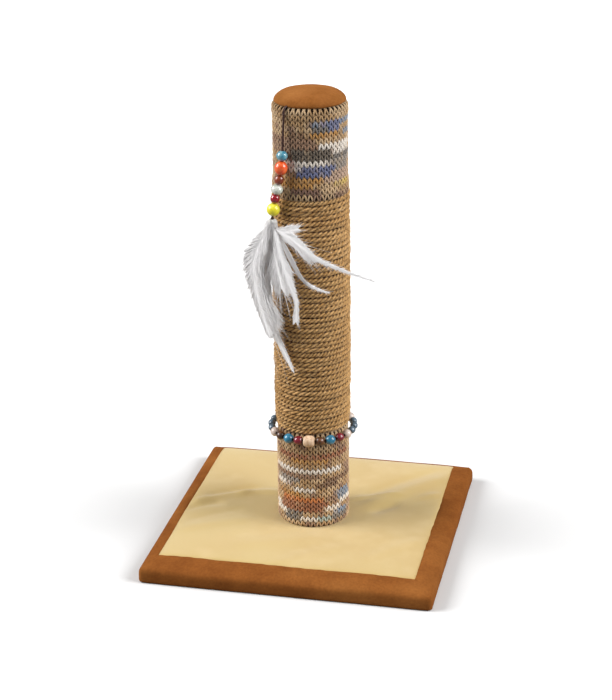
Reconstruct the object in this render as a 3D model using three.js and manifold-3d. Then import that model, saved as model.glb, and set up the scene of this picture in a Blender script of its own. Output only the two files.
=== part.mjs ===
// A cat scratching post: a square padded base, an upright tube wound with rope between two
// knitted sleeves, a padded cap, a ring of wooden beads and a hanging toy of beads and feathers.
// Units are millimetres. +Z is up, -Y is the front, and the origin is the middle of the underside.

import * as THREE from 'three';
import { mergeVertices } from 'three/addons/utils/BufferGeometryUtils.js';
import Module from 'manifold-3d';

const wasm = await Module();
wasm.setup();

// ---- driving dimensions ----------------------------------------------------------------

const GAP = 0.3; // clearance kept between neighbouring pieces

const BASE_SIDE = 300; // the finished base, over its suede edge
const BASE_THICK = 16; // at the outer edge
const BASE_CORNER = 5; // corner radius seen from above
const EDGE_FOLD = 2.6; // radius of the fold along the edges
const SUEDE = 1.2; // suede with its stiffener
const BOARD_THICK = 12;
const CLOTH_THICK = 0.6; // black cloth under the base
const CLOTH_INSET = 8.5; // how far the suede is turned in under the board
// Width of the suede border on each side: the cover was sewn slightly off centre.
const BORDER = { left: 15, right: 22, front: 28, back: 6 };

const PANEL_THICK = 1.2; // the cream cloth
const PANEL_RISE = 0.8; // its seam stands this far above the border
const PANEL_CROWN = 4.6; // how much higher the padding is than the seam
const FOOT_DIP = 0.8; // the post presses the padding down this far
const PAD_ROOM = 1.4; // round the bolt where it passes through the cloth and the padding

const TUBE_OUTER = 34.5; // radius of the cardboard tube
const TUBE_WALL = 3;
const TUBE_TOP = 466;
const PLUG_HIGH = 18; // wooden discs glued in both ends of the tube
const PLUG_ROOM = 0.4; // between a disc and the flat-sided tube
const SLEEVE_LOW = 37.6; // outer radius of the lower knitted sleeve
const SLEEVE_HIGH = 37.1; // outer radius of the upper one, which is pulled tighter
const SLEEVE_RIM = 38; // where the upper sleeve turns over the tube's end
const KNIT_ROOM = 0.5; // between a sleeve and the flat-sided tube
const KNIT_LIP = 2.4; // the upper sleeve's height over the tube's end
const SLEEVE_CINCHED = 36.3; // the lower one again, under the ring of beads
const ROPE_BOTTOM = 126.6;
const ROPE_TOP = 378;
const ROPE_TURNS = 24; // the real rope is thinner and goes round about twice as often
const ROPE_OUTER = 39.4;
const ROPE_STEPS = 24; // straight steps in one turn
const ROPE_SPACE = 0.6; // between neighbouring turns

const CAP_RADIUS = 33;
const CAP_TOP = 479.2;
const CAP_SKIN = 0.9;

const BOLT = { radius: 3.9, length: 30, headRadius: 7.4, headHigh: 5.3 };
const WASHER = { radius: 10, thick: 1.6 };
const INSERT = { radius: 5.6, length: 14 };
const THREAD_ROOM = 0.1; // between the bolt and the insert it is screwed into
const BOLT_ROOM = 0.6; // round the bolt where it passes through the board
const WASHER_ROOM = 1; // round the washer in its recess
const RECESS_DEPTH = BOLT.headHigh + WASHER.thick + 1.4;
const STAPLE = { at: 25, legSide: 2.3, wire: 0.4, legLong: 7 }; // holds the toy's cord to the top plug

const RING_BEADS = 24;
const RING_RADIUS = 42.8; // of the elastic that the beads are threaded on
const RING_HEIGHT = 122;
const RING_CORD = 0.7;

const TOY_AZIMUTH = -30; // degrees from the front, towards the left
const CORD_RADIUS = 1.1;
const BEND_RADIUS = 1.45; // the knuckle of cord that bends over the sleeve's rim
const BEND_REACH = 2; // the cord's two ends stay this far from its middle, to clear at a full swing
const BEAD_SPACE = 0.5; // between beads on the hanging cord

// ---- colours ---------------------------------------------------------------------------

const finish = (color, roughness, metalness = 0) =>
  new THREE.MeshStandardMaterial({ color, roughness, metalness });

const SUEDE_TAN = finish(0xa4622b, 0.9);
const CREAM_CLOTH = finish(0xe0c488, 0.85);
const FOAM = finish(0xf1ead4, 0.95);
const FIBREBOARD = finish(0xb48a5c, 0.8);
const CARDBOARD = finish(0xb89468, 0.9);
const BLACK_CLOTH = finish(0x26221f, 0.95);
const ZINC = finish(0xb9bcc0, 0.35, 0.9);
const KNIT = finish(0xa78d72, 0.95);
const JUTE = finish(0xa77c4c, 0.95);
const DARK_CORD = finish(0x2e1710, 0.8);
const ELASTIC = finish(0x1d1816, 0.7);
const FEATHER = finish(0xf4f2ee, 0.75);
const THREAD = finish(0xefebe2, 0.85);

// ---- solids ----------------------------------------------------------------------------

/** Leaves only the vertex positions and shares the vertices that coincide. */
function welded(geometry) {
  const bare = geometry.clone();
  bare.deleteAttribute('normal');
  bare.deleteAttribute('uv');
  return mergeVertices(bare, 1e-4);
}

function toSolid(geometry) {
  const g = welded(geometry);
  const vertProperties = g.attributes.position.array;
  const triVerts = Uint32Array.from(g.index.array);
  return new wasm.Manifold(new wasm.Mesh({ numProp: 3, vertProperties, triVerts }));
}

function fromSolid(solid) {
  const mesh = solid.getMesh();
  const g = new THREE.BufferGeometry();
  g.setAttribute('position', new THREE.BufferAttribute(Float32Array.from(mesh.vertProperties), 3));
  g.setIndex(new THREE.BufferAttribute(Uint32Array.from(mesh.triVerts), 1));
  return g;
}

/** Cuts every tool out of a body. */
function cut(body, ...tools) {
  let solid = toSolid(body);
  for (const tool of tools) {
    solid = solid.subtract(toSolid(tool));
  }
  return fromSolid(solid);
}

/** A solid of revolution about Z. The profile is a list of [radius, height] pairs. */
function turned(profile, segments) {
  const points = profile.map(([r, z]) => new THREE.Vector2(r, z));
  return new THREE.LatheGeometry(points, segments).rotateX(Math.PI / 2);
}

/** A pipe about Z from its four corners. */
function pipe(inner, outer, low, high, segments) {
  return turned([[inner, low], [outer, low], [outer, high], [inner, high], [inner, low]], segments);
}

function rod(radius, low, high, segments) {
  return new THREE.CylinderGeometry(radius, radius, high - low, segments)
    .rotateX(Math.PI / 2)
    .translate(0, 0, (low + high) / 2);
}

/** A rectangle with round corners, centred at (cx, cy). */
function roundedOutline(width, depth, corner, cx = 0, cy = 0) {
  const shape = new THREE.Shape();
  const x = cx - width / 2;
  const y = cy - depth / 2;
  shape.moveTo(x + corner, y);
  shape.lineTo(x + width - corner, y);
  shape.absarc(x + width - corner, y + corner, corner, -Math.PI / 2, 0);
  shape.lineTo(x + width, y + depth - corner);
  shape.absarc(x + width - corner, y + depth - corner, corner, 0, Math.PI / 2);
  shape.lineTo(x + corner, y + depth);
  shape.absarc(x + corner, y + depth - corner, corner, Math.PI / 2, Math.PI);
  shape.lineTo(x, y + corner);
  shape.absarc(x + corner, y + corner, corner, Math.PI, 1.5 * Math.PI);
  return shape;
}

function slab(shape, low, high, curveSegments = 4) {
  return new THREE.ExtrudeGeometry(shape, { depth: high - low, bevelEnabled: false, curveSegments })
    .translate(0, 0, low);
}

function addHole(shape, radius) {
  const hole = new THREE.Path();
  hole.absarc(0, 0, radius, 0, 2 * Math.PI, true);
  shape.holes.push(hole);
  return shape;
}

/** Closes a stack of equal rings into one body: rings[i][j] is a Vector3, ends are fans. */
function skinned(rings) {
  const sides = rings[0].length;
  const position = rings.flat().flatMap((p) => [p.x, p.y, p.z]);
  const index = [];
  for (let i = 0; i + 1 < rings.length; i += 1) {
    for (let j = 0; j < sides; j += 1) {
      const a = i * sides + j;
      const b = i * sides + ((j + 1) % sides);
      index.push(a, b, b + sides, a, b + sides, a + sides);
    }
  }
  const last = (rings.length - 1) * sides;
  for (let j = 1; j + 1 < sides; j += 1) {
    index.push(0, j + 1, j);
    index.push(last, last + j, last + j + 1);
  }
  const g = new THREE.BufferGeometry();
  g.setAttribute('position', new THREE.Float32BufferAttribute(position, 3));
  g.setIndex(index);
  return g;
}

/** A round tube along a curve. */
function tubeAlong(curve, radius, sides, steps) {
  const section = new THREE.Shape();
  for (let i = 0; i < sides; i += 1) {
    const angle = (2 * Math.PI * i) / sides;
    const move = i === 0 ? 'moveTo' : 'lineTo';
    section[move](radius * Math.cos(angle), radius * Math.sin(angle));
  }
  return new THREE.ExtrudeGeometry(section, { steps, extrudePath: curve, bevelEnabled: false });
}

// ---- frames of the toy -----------------------------------------------------------------

const azimuth = THREE.MathUtils.degToRad(TOY_AZIMUTH);
const OUTWARD = new THREE.Vector3(Math.sin(azimuth), -Math.cos(azimuth), 0);
const ALONGSIDE = new THREE.Vector3(Math.cos(azimuth), Math.sin(azimuth), 0);

/** A point by its distance out from the post's axis, its sideways shift and its height. */
function toyPoint([out, side, height]) {
  return new THREE.Vector3()
    .addScaledVector(OUTWARD, out)
    .addScaledVector(ALONGSIDE, side)
    .setZ(height);
}

// ---- the assembly ----------------------------------------------------------------------

const post = new THREE.Group();

function add(name, geometry, material) {
  const mesh = new THREE.Mesh(geometry, material);
  mesh.name = name;
  post.add(mesh);
  return mesh;
}

// Heights inside the base, from the floor up.
const boardLow = SUEDE + GAP;
const boardHigh = boardLow + BOARD_THICK;
const recessTop = boardLow + RECESS_DEPTH;
const hollowTop = BASE_THICK - SUEDE;
const boardSide = BASE_SIDE - 2 * (SUEDE + GAP);

// The seam between the cream panel and the suede border, as a rectangle.
const seam = {
  x: (BORDER.left - BORDER.right) / 2,
  y: (BORDER.front - BORDER.back) / 2,
  width: BASE_SIDE - BORDER.left - BORDER.right,
  depth: BASE_SIDE - BORDER.front - BORDER.back,
};
const seamTop = BASE_THICK + PANEL_RISE;
const crownTop = seamTop + PANEL_CROWN;
const footTop = crownTop - FOOT_DIP;

/**
 * A pad filling a rectangle, crowned between the seam and a flat round seat in the middle.
 * Its top follows rings from the bolt hole out to the seam; its underside follows `low`.
 */
function crownedPad(inset, topDrop, low, around) {
  const perSide = around / 4;
  const halfW = seam.width / 2 - inset;
  const halfD = seam.depth / 2 - inset;
  const corners = [[-1, -1], [1, -1], [1, 1], [-1, 1]];
  const edge = [];
  corners.forEach(([sx, sy], i) => {
    const [nx, ny] = corners[(i + 1) % 4];
    for (let k = 0; k < perSide; k += 1) {
      const f = k / perSide;
      edge.push(new THREE.Vector2(
        seam.x + halfW * (sx + (nx - sx) * f),
        seam.y + halfD * (sy + (ny - sy) * f),
      ));
    }
  });
  // Each ring has a radius, or a share of the way on to the edge, and a drop below the crown.
  const footRadius = SLEEVE_LOW + 1.5;
  const roundest = SLEEVE_LOW + 14;
  const rings = [
    { radius: BOLT.radius + PAD_ROOM, drop: FOOT_DIP },
    { radius: footRadius, drop: FOOT_DIP },
    { radius: roundest, drop: 0.2 },
    { share: 0.45, drop: 0 },
    { share: 0.82, drop: 0.15 * PANEL_CROWN },
    { share: 0.94, drop: 0.5 * PANEL_CROWN },
    { share: 1, drop: PANEL_CROWN },
  ];
  const place = (ring, end) => {
    const far = end.length();
    const reach = ring.radius ?? roundest + (far - roundest) * ring.share;
    return end.clone().multiplyScalar(reach / far);
  };
  const top = rings.map((ring) => edge.map((end) => {
    const p = place(ring, end);
    return new THREE.Vector3(p.x, p.y, crownTop - topDrop - ring.drop);
  }));
  const under = rings.map((ring) => edge.map((end) => {
    const p = place(ring, end);
    return new THREE.Vector3(p.x, p.y, low(crownTop - ring.drop));
  }));
  return closedLoop([...under, ...top.reverse()]);
}

/** Closes a loop of rings, each ring round the same hole, into a ring-shaped body. */
function closedLoop(rings) {
  const sides = rings[0].length;
  const position = rings.flat().flatMap((p) => [p.x, p.y, p.z]);
  const index = [];
  for (let i = 0; i < rings.length; i += 1) {
    const next = ((i + 1) % rings.length) * sides;
    for (let j = 0; j < sides; j += 1) {
      const k = (j + 1) % sides;
      index.push(i * sides + j, next + k, next + j);
      index.push(i * sides + j, i * sides + k, next + k);
    }
  }
  const g = new THREE.BufferGeometry();
  g.setAttribute('position', new THREE.Float32BufferAttribute(position, 3));
  g.setIndex(index);
  return g;
}

function buildBase() {
  const board = cut(
    slab(roundedOutline(boardSide, boardSide, BASE_CORNER - SUEDE - GAP), boardLow, boardHigh),
    rod(BOLT.radius + BOLT_ROOM, boardLow - 1, boardHigh + 1, 16),
    rod(WASHER.radius + WASHER_ROOM, boardLow - 1, recessTop, 24),
  );
  add('base_board', board, FIBREBOARD);

  const outside = new THREE.ExtrudeGeometry(
    roundedOutline(BASE_SIDE - 2 * EDGE_FOLD, BASE_SIDE - 2 * EDGE_FOLD, BASE_CORNER - EDGE_FOLD),
    {
      depth: BASE_THICK - 2 * EDGE_FOLD,
      bevelThickness: EDGE_FOLD,
      bevelSize: EDGE_FOLD,
      bevelSegments: 2,
      curveSegments: 3,
    },
  ).translate(0, 0, EDGE_FOLD);
  const hollowSide = BASE_SIDE - 2 * SUEDE;
  const hollow = slab(roundedOutline(hollowSide, hollowSide, BASE_CORNER - SUEDE, 0, 0), SUEDE, hollowTop, 3);
  const opening = slab(
    roundedOutline(seam.width, seam.depth, GAP, seam.x, seam.y),
    hollowTop - 1,
    BASE_THICK + 1,
    1,
  );
  const clothSide = BASE_SIDE - 2 * CLOTH_INSET;
  const underneath = slab(roundedOutline(clothSide, clothSide, 1), -1, SUEDE + 1, 1);
  add('border_cover', cut(outside, hollow, opening, underneath), SUEDE_TAN);

  const clothSize = clothSide - 2 * GAP;
  const cloth = addHole(roundedOutline(clothSize, clothSize, 1), WASHER.radius + WASHER_ROOM);
  add('bottom_cloth', slab(cloth, 0, CLOTH_THICK, 3), BLACK_CLOTH);

  const panelUnder = (top) => top - PANEL_THICK;
  add('top_panel', crownedPad(GAP, 0, panelUnder, 40), CREAM_CLOTH);
  const padDrop = PANEL_THICK + GAP;
  add('base_padding', crownedPad(2 * GAP, padDrop, () => boardHigh + GAP, 24), FOAM);
}

// ---- the post and what bolts it down -----------------------------------------------------

const tubeLow = footTop + GAP;
const tubeInner = TUBE_OUTER - TUBE_WALL;
const plugRadius = tubeInner - PLUG_ROOM;
const knitInner = TUBE_OUTER + KNIT_ROOM;

function buildPost() {
  const washerHigh = recessTop - GAP;
  const washerLow = washerHigh - WASHER.thick;
  const headHigh = washerLow - 0.1;
  const head = rod(BOLT.headRadius, headHigh - BOLT.headHigh, headHigh, 6);
  const shank = rod(BOLT.radius, headHigh - 1, headHigh + BOLT.length, 16);
  add('post_bolt', fromSolid(toSolid(head).add(toSolid(shank))), ZINC);
  add('bolt_washer', pipe(BOLT.radius + 0.4, WASHER.radius, washerLow, washerHigh, 24), ZINC);

  const insertLow = tubeLow + GAP;
  const insertHigh = insertLow + INSERT.length;
  add('threaded_insert', pipe(BOLT.radius + THREAD_ROOM, INSERT.radius, insertLow, insertHigh, 16), ZINC);
  const plugBore = INSERT.radius + GAP;
  add('bottom_plug', pipe(plugBore, plugRadius, insertLow, insertLow + PLUG_HIGH, 32), FIBREBOARD);
  add('post_tube', pipe(tubeInner, TUBE_OUTER, tubeLow, TUBE_TOP, 48), CARDBOARD);

  const lowEnd = ROPE_BOTTOM - GAP;
  add('lower_knit', turned([
    [knitInner, tubeLow],
    [SLEEVE_LOW - 0.9, tubeLow],
    [SLEEVE_LOW, tubeLow + 2],
    [SLEEVE_LOW, RING_HEIGHT - 8],
    [SLEEVE_CINCHED, RING_HEIGHT - 5],
    [SLEEVE_CINCHED, lowEnd],
    [knitInner, lowEnd],
    [knitInner, tubeLow],
  ], 32), KNIT);

  const highStart = ROPE_TOP + GAP;
  const lipLow = TUBE_TOP + GAP;
  const sleeve = turned([
    [knitInner, highStart],
    [ROPE_OUTER - 1.2, highStart],
    [ROPE_OUTER - 0.8, highStart + 4],
    [SLEEVE_HIGH, highStart + 15],
    [SLEEVE_HIGH, TUBE_TOP - 14],
    [SLEEVE_RIM, TUBE_TOP - 3],
    [SLEEVE_RIM - 1.2, TUBE_TOP + 1.7],
    [SLEEVE_RIM - 3.6, TUBE_TOP + KNIT_LIP],
    [tubeInner, TUBE_TOP + KNIT_LIP],
    [tubeInner, lipLow],
    [knitInner, lipLow],
    [knitInner, highStart],
  ], 36);
  add('upper_knit', cut(sleeve, cordGroove), KNIT);
  add('rope_winding', windingGeometry(), JUTE);
}

/** One unbroken rope wound round the tube, drawn flatter and with a longer pitch than the real one. */
function windingGeometry() {
  const pitch = (ROPE_TOP - ROPE_BOTTOM - GAP) / (ROPE_TURNS + 1);
  const high = pitch - ROPE_SPACE;
  const inner = (TUBE_OUTER + GAP) / Math.cos(Math.PI / ROPE_STEPS) + 0.05;
  const deep = ROPE_OUTER - inner;
  const section = [
    [inner, 0.3 * high],
    [inner + 0.62 * deep, 0.5 * high],
    [ROPE_OUTER, 0.24 * high],
    [ROPE_OUTER, -0.24 * high],
    [inner + 0.62 * deep, -0.5 * high],
    [inner, -0.3 * high],
  ];
  const rings = [];
  const total = ROPE_TURNS * ROPE_STEPS;
  const start = ROPE_BOTTOM + GAP + high / 2;
  for (let i = 0; i <= total; i += 1) {
    const angle = Math.PI / 2 + (2 * Math.PI * i) / ROPE_STEPS;
    const z = start + (pitch * i) / ROPE_STEPS;
    rings.push(section.map(([r, dz]) => new THREE.Vector3(r * Math.cos(angle), r * Math.sin(angle), z + dz)));
  }
  printLeastGap(rings);
  return skinned(rings);
}

/** Measures how near any point of one turn comes to the flat-sided turn above it. */
function printLeastGap(rings) {
  let least = Infinity;
  const side = new THREE.Line3();
  const near = new THREE.Vector3();
  for (let i = 0; i + ROPE_STEPS < rings.length; i += 1) {
    const above = rings[i + ROPE_STEPS];
    for (const p of rings[i]) {
      for (let j = 0; j < above.length; j += 1) {
        side.set(above[j], above[(j + 1) % above.length]);
        side.closestPointToPoint(p, true, near);
        least = Math.min(least, near.distanceTo(p));
      }
    }
  }
  console.log(`rope winding: ${ROPE_TURNS} turns, least gap to itself ${least.toFixed(2)} mm`);
}

// ---- the cap -----------------------------------------------------------------------------

function buildCap() {
  const low = TUBE_TOP + KNIT_LIP + GAP;
  const hemInner = 28.8;
  const bossRadius = 21; // the padding reaches down to the plug inside the hem
  const outer = [
    [0, CAP_TOP],
    [12, CAP_TOP - 0.3],
    [22, CAP_TOP - 1.4],
    [28.5, CAP_TOP - 3.4],
    [32, CAP_TOP - 6.6],
    [CAP_RADIUS, CAP_TOP - 9],
    [CAP_RADIUS - 0.6, low],
  ];
  const inner = [
    [CAP_RADIUS - 1.5, low + CAP_SKIN],
    [CAP_RADIUS - CAP_SKIN, CAP_TOP - 9],
    [31, CAP_TOP - 7],
    [27.8, CAP_TOP - 4.2],
    [21.6, CAP_TOP - 2.3],
    [12, CAP_TOP - 1.2],
    [0, CAP_TOP - CAP_SKIN],
  ];
  const cover = turned([...outer, [hemInner, low], [hemInner, low + CAP_SKIN], ...inner].reverse(), 28);
  add('cap_cover', cut(cover, cordGroove), SUEDE_TAN);

  const pad = turned([
    [0, CAP_TOP - CAP_SKIN - GAP],
    [12, CAP_TOP - 1.6],
    [21.2, CAP_TOP - 2.7],
    [27.2, CAP_TOP - 4.6],
    [30.3, CAP_TOP - 7.4],
    [31.3, CAP_TOP - 9],
    [30.8, low + CAP_SKIN + GAP],
    [bossRadius, low + CAP_SKIN + GAP],
    [bossRadius, TUBE_TOP + GAP],
    [0, TUBE_TOP + GAP],
  ].reverse(), 24);
  add('cap_padding', cut(pad, cordGroove), FOAM);

  const staple = stapleParts();
  const plug = rod(plugRadius, TUBE_TOP - PLUG_HIGH, TUBE_TOP, 32);
  add('top_plug', cut(plug, ...staple.holes), FIBREBOARD);
  add('cord_staple', staple.wire, ZINC);
}

/** The staple that pins the cord's end to the top plug, and the two holes its legs make. */
function stapleParts() {
  const { at, legSide, wire, legLong } = STAPLE;
  const crown = TUBE_TOP + 2 * (CORD_RADIUS + GAP + wire);
  const box = (width, low, high, side, grow) => {
    const g = new THREE.BoxGeometry(wire * 2 + grow, width + grow, high - low);
    g.translate(0, side, (high + low) / 2);
    g.translate(at, 0, 0);
    return g.rotateZ(azimuth - Math.PI / 2 + CORD_TURN);
  };
  const bridge = box(2 * legSide + 2 * wire, crown - 2 * wire, crown, 0, 0);
  const legs = [-legSide, legSide].map((side) => box(2 * wire, TUBE_TOP - legLong, crown, side, 0));
  const solid = legs.reduce((sum, leg) => sum.add(toSolid(leg)), toSolid(bridge));
  const holeLow = TUBE_TOP - legLong - 1;
  const holes = [-legSide, legSide].map((side) => box(2 * wire, holeLow, TUBE_TOP + 1, side, 2 * GAP));
  return { wire: fromSolid(solid), holes };
}

// ---- the hanging toy -----------------------------------------------------------------------

// The cord leaves the cap a little to the right of the toy's middle.
const CORD_SIDE = 1.9;
const CORD_TURN = Math.atan2(CORD_SIDE, SLEEVE_RIM);
const PIVOT = [39.6, CORD_SIDE, 461.3];

const tailRoute = [
  [22.6, 1.1, TUBE_TOP + CORD_RADIUS + GAP],
  [26, 1.3, TUBE_TOP + CORD_RADIUS + GAP],
  [30, 1.5, TUBE_TOP + CORD_RADIUS + GAP + 0.1],
  [34, 1.7, TUBE_TOP + 2.5],
  [37, 1.8, TUBE_TOP + 2.1],
  [39, 1.9, TUBE_TOP],
  [39.5, 1.9, TUBE_TOP - 1.6],
  [39.6, 1.9, PIVOT[2] + BEND_REACH],
].map(toyPoint);
const tailCurve = new THREE.CatmullRomCurve3(tailRoute);
const cordGroove = tubeAlong(tailCurve, CORD_RADIUS + GAP, 8, 20);

const hangRoute = [
  [39.62, 1.9, PIVOT[2] - BEND_REACH],
  [40.3, 2.1, 452],
  [41.4, 2.3, 440],
  [42.4, 2.4, 430],
  [43.1, 2.4, 422],
  [44.2, 1.7, 409],
  [45.2, 0.1, 398],
  [46.2, -2.2, 387.6],
  [47, -4.4, 377.2],
  [47.8, -6.1, 366.2],
  [48.2, -6.8, 359.2],
].map(toyPoint);
const hangCurve = new THREE.CatmullRomCurve3(hangRoute);

const TOY_BEADS = [
  { name: 'toy_bead_blue', radius: 5.6, high: 10, material: finish(0x2f93ad, 0.12) },
  { name: 'toy_bead_orange', radius: 6.5, high: 13.6, material: finish(0xe8521a, 0.3) },
  { name: 'toy_bead_brown', radius: 4.7, high: 9.4, material: finish(0x8a3d20, 0.35) },
  { name: 'toy_bead_white', radius: 6.1, high: 9.8, material: finish(0xe9ece2, 0.15) },
  { name: 'toy_bead_red', radius: 4.7, high: 9.2, material: finish(0xb0172a, 0.12) },
  { name: 'toy_bead_yellow', radius: 6.6, high: 12.6, material: finish(0xf0e02a, 0.4) },
];

/** A bead turned about Z, with its hole and slightly flattened ends. */
function beadGeometry(radius, high, hole, segments, arcs) {
  const half = high / 2;
  const rim = Math.sqrt(Math.max(0, 1 - (hole * 1.25 / radius) ** 2));
  const limit = Math.asin(rim);
  const profile = [];
  for (let i = 0; i <= arcs; i += 1) {
    const angle = -limit + (2 * limit * i) / arcs;
    profile.push([radius * Math.cos(angle), (half * Math.sin(angle)) / rim]);
  }
  return turned([[hole, -half], ...profile, [hole, half], [hole, -half]], segments);
}

/** Turns something built about Z so that its axis lies along a direction, and moves it. */
function placed(geometry, at, direction) {
  const turn = new THREE.Quaternion().setFromUnitVectors(new THREE.Vector3(0, 0, 1), direction);
  return geometry.applyQuaternion(turn).translate(at.x, at.y, at.z);
}

function buildToy() {
  add('toy_cord_tail', tubeAlong(tailCurve, CORD_RADIUS, 8, 14), DARK_CORD);
  const bend = new THREE.SphereGeometry(BEND_RADIUS, 8, 6);
  add('toy_cord_bend', placed(bend, toyPoint(PIVOT), new THREE.Vector3(0, 0, 1)), DARK_CORD);
  add('toy_cord', tubeAlong(hangCurve, CORD_RADIUS, 8, 24), DARK_CORD);

  const length = hangCurve.getLength();
  const stack = TOY_BEADS.reduce((sum, bead) => sum + bead.high + BEAD_SPACE, 0);
  let along = length - CORD_END - stack;
  for (const bead of TOY_BEADS) {
    const u = (along + bead.high / 2) / length;
    const shape = beadGeometry(bead.radius, bead.high, CORD_RADIUS + 0.55, 12, 6);
    add(bead.name, placed(shape, hangCurve.getPointAt(u), hangCurve.getTangentAt(u).negate()), bead.material);
    along += bead.high + BEAD_SPACE;
  }
}

// ---- the feathers ----------------------------------------------------------------------------

const CORD_END = 0.6; // the cord shows this far below the last bead
const KNOT = 1.7; // radius of the knot that ends the cord, which the feathers hang from
const BINDING = { radius: 3.7, bore: 3, high: 4 };
const QUILL = 0.55; // radius of a bare quill
const QUILL_CIRCLE = 1.95; // the quills stand in a ring of this radius in the binding
const VANE_HALF = 0.5; // half the thickness of a feather's vane

// Each feather: its quill's place in the binding, the points its shaft follows after that as
// [out, side, height], its greatest half width and where along the shaft that lies.
const FEATHERS = [
  {
    name: 'feather_left_plume',
    place: 152,
    route: [
      [51.8, -14, 341], [53.5, -24, 324], [55, -29, 303], [54, -27, 280], [52.5, -19, 254], [52, -10, 232],
    ],
    half: 15,
    widest: 0.42,
  },
  {
    name: 'feather_centre_plume',
    place: 200,
    route: [[48.5, -9, 341], [49, -6, 322], [49.5, 1, 300], [50, 8, 282], [50, 12, 268]],
    half: 12,
    widest: 0.45,
  },
  {
    name: 'feather_short',
    place: 345,
    route: [[48.6, -2.6, 346.6], [48.2, 5, 346.5], [47.8, 16, 350], [47.2, 28, 354.5]],
    half: 4,
    widest: 0.7,
  },
  {
    name: 'feather_long_right',
    place: 40,
    route: [
      [50.6, -1, 347.6], [52, 18, 345], [53, 38, 338], [53, 58, 330.5], [53, 92, 326.5], [53, 128, 325],
    ],
    half: 6.5,
    widest: 0.3,
  },
  {
    name: 'feather_low_right',
    place: 295,
    route: [[46.2, -1, 341], [46, 11, 324], [46.6, 29, 303], [46.8, 48, 297], [46.6, 66, 296.5]],
    half: 6,
    widest: 0.35,
  },
  {
    name: 'feather_down',
    place: 92,
    route: [[54, 2, 342], [56.5, 10, 324], [58.5, 22, 302], [59.5, 33, 284], [59.5, 33, 262]],
    half: 6,
    widest: 0.4,
  },
  {
    name: 'feather_long_low',
    place: 247,
    route: [
      [45.8, -11, 340], [45, -16, 318], [44.6, -19, 292], [44.6, -17, 262], [44.6, -9, 235], [44.6, 15, 199],
    ],
    half: 7,
    widest: 0.35,
  },
];

/** One feather: a quill that widens into a flat vane and closes to a point. */
function featherGeometry(feather, root, down) {
  const angle = THREE.MathUtils.degToRad(feather.place);
  const across = new THREE.Vector3()
    .addScaledVector(ALONGSIDE, Math.cos(angle) * QUILL_CIRCLE)
    .addScaledVector(OUTWARD, Math.sin(angle) * QUILL_CIRCLE);
  const start = root.clone().add(across);
  const end = start.clone().addScaledVector(down, BINDING.high + 1);
  const route = [start, end, ...feather.route.map(toyPoint)];
  const curve = new THREE.CatmullRomCurve3(route, false, 'centripetal');
  const length = curve.getLength();
  const bare = (BINDING.high + 5) / length;
  const steps = 9;
  const stations = [0, BINDING.high / length];
  for (let i = 0; i <= steps; i += 1) {
    stations.push(Math.min(1, bare + ((1 - bare) * i) / steps));
  }
  const rings = stations.map((u) => {
    const at = curve.getPointAt(u);
    const along = curve.getTangentAt(u);
    const flat = new THREE.Vector3().crossVectors(along, OUTWARD).normalize();
    const thick = new THREE.Vector3().crossVectors(flat, along).normalize();
    const s = Math.max(0, (u - bare) / (1 - bare));
    const rise = s < feather.widest ? s / feather.widest : (1 - s) / (1 - feather.widest);
    const half = u <= bare ? QUILL : Math.max(QUILL, feather.half * Math.sin((Math.PI / 2) * rise) ** 0.8);
    const deep = u <= bare ? QUILL : VANE_HALF * (1 - 0.4 * s);
    const corner = (w, t) => at.clone().addScaledVector(flat, w * half).addScaledVector(thick, t * deep);
    return [corner(1, 0), corner(0.5, -1), corner(-0.5, -1), corner(-1, 0), corner(-0.5, 1), corner(0.5, 1)];
  });
  return skinned(rings);
}

function buildFeathers() {
  const end = hangCurve.getPointAt(1);
  const down = hangCurve.getTangentAt(1).normalize();
  const knotAt = end.clone().addScaledVector(down, GAP + KNOT);
  add('cord_end_knot', placed(new THREE.SphereGeometry(KNOT, 8, 6), knotAt, down), DARK_CORD);

  const root = knotAt.clone().addScaledVector(down, KNOT + GAP);
  const middle = root.clone().addScaledVector(down, BINDING.high / 2);
  const binding = pipe(BINDING.bore, BINDING.radius, -BINDING.high / 2, BINDING.high / 2, 14);
  add('feather_binding', placed(binding, middle, down), THREAD);
  for (const feather of FEATHERS) {
    add(feather.name, featherGeometry(feather, root, down), FEATHER);
  }
}

// ---- the ring of beads -------------------------------------------------------------------------

const RING_KINDS = {
  cream: { radius: 6.2, high: 11.4, material: finish(0xe3cda6, 0.6) },
  brown: { radius: 4.4, high: 8.6, material: finish(0x7a4a24, 0.4) },
  turquoise: { radius: 5.1, high: 9.8, material: finish(0x3aa0c4, 0.3) },
  red: { radius: 4.6, high: 9, material: finish(0xa81e30, 0.25) },
  white: { radius: 4.8, high: 9.4, material: finish(0xeadfd3, 0.45) },
  grey: { radius: 3.9, high: 8.2, material: finish(0x6f8ea3, 0.35) },
};
// The order round the post, from the front towards the right, said twice over the ring.
const RING_ORDER = ['cream', 'brown', 'turquoise', 'red', 'white', 'grey',
  'grey', 'grey', 'white', 'brown', 'turquoise', 'red'];
const RING_START = 6.6; // degrees: the front cream bead sits a little to the right

function buildRing() {
  const loop = new THREE.TorusGeometry(RING_RADIUS, RING_CORD, 6, 2 * RING_BEADS);
  add('ring_cord', loop.translate(0, 0, RING_HEIGHT), ELASTIC);
  for (let i = 0; i < RING_BEADS; i += 1) {
    const kind = RING_ORDER[i % RING_ORDER.length];
    const { radius, high, material } = RING_KINDS[kind];
    const angle = THREE.MathUtils.degToRad(RING_START + (360 / RING_BEADS) * i);
    const at = new THREE.Vector3(Math.sin(angle), -Math.cos(angle), 0).multiplyScalar(RING_RADIUS)
      .setZ(RING_HEIGHT);
    const along = new THREE.Vector3(Math.cos(angle), Math.sin(angle), 0);
    const number = String(i + 1).padStart(2, '0');
    add(`ring_bead_${number}_${kind}`, placed(beadGeometry(radius, high, 1.5, 8, 4), at, along), material);
  }
}

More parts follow.
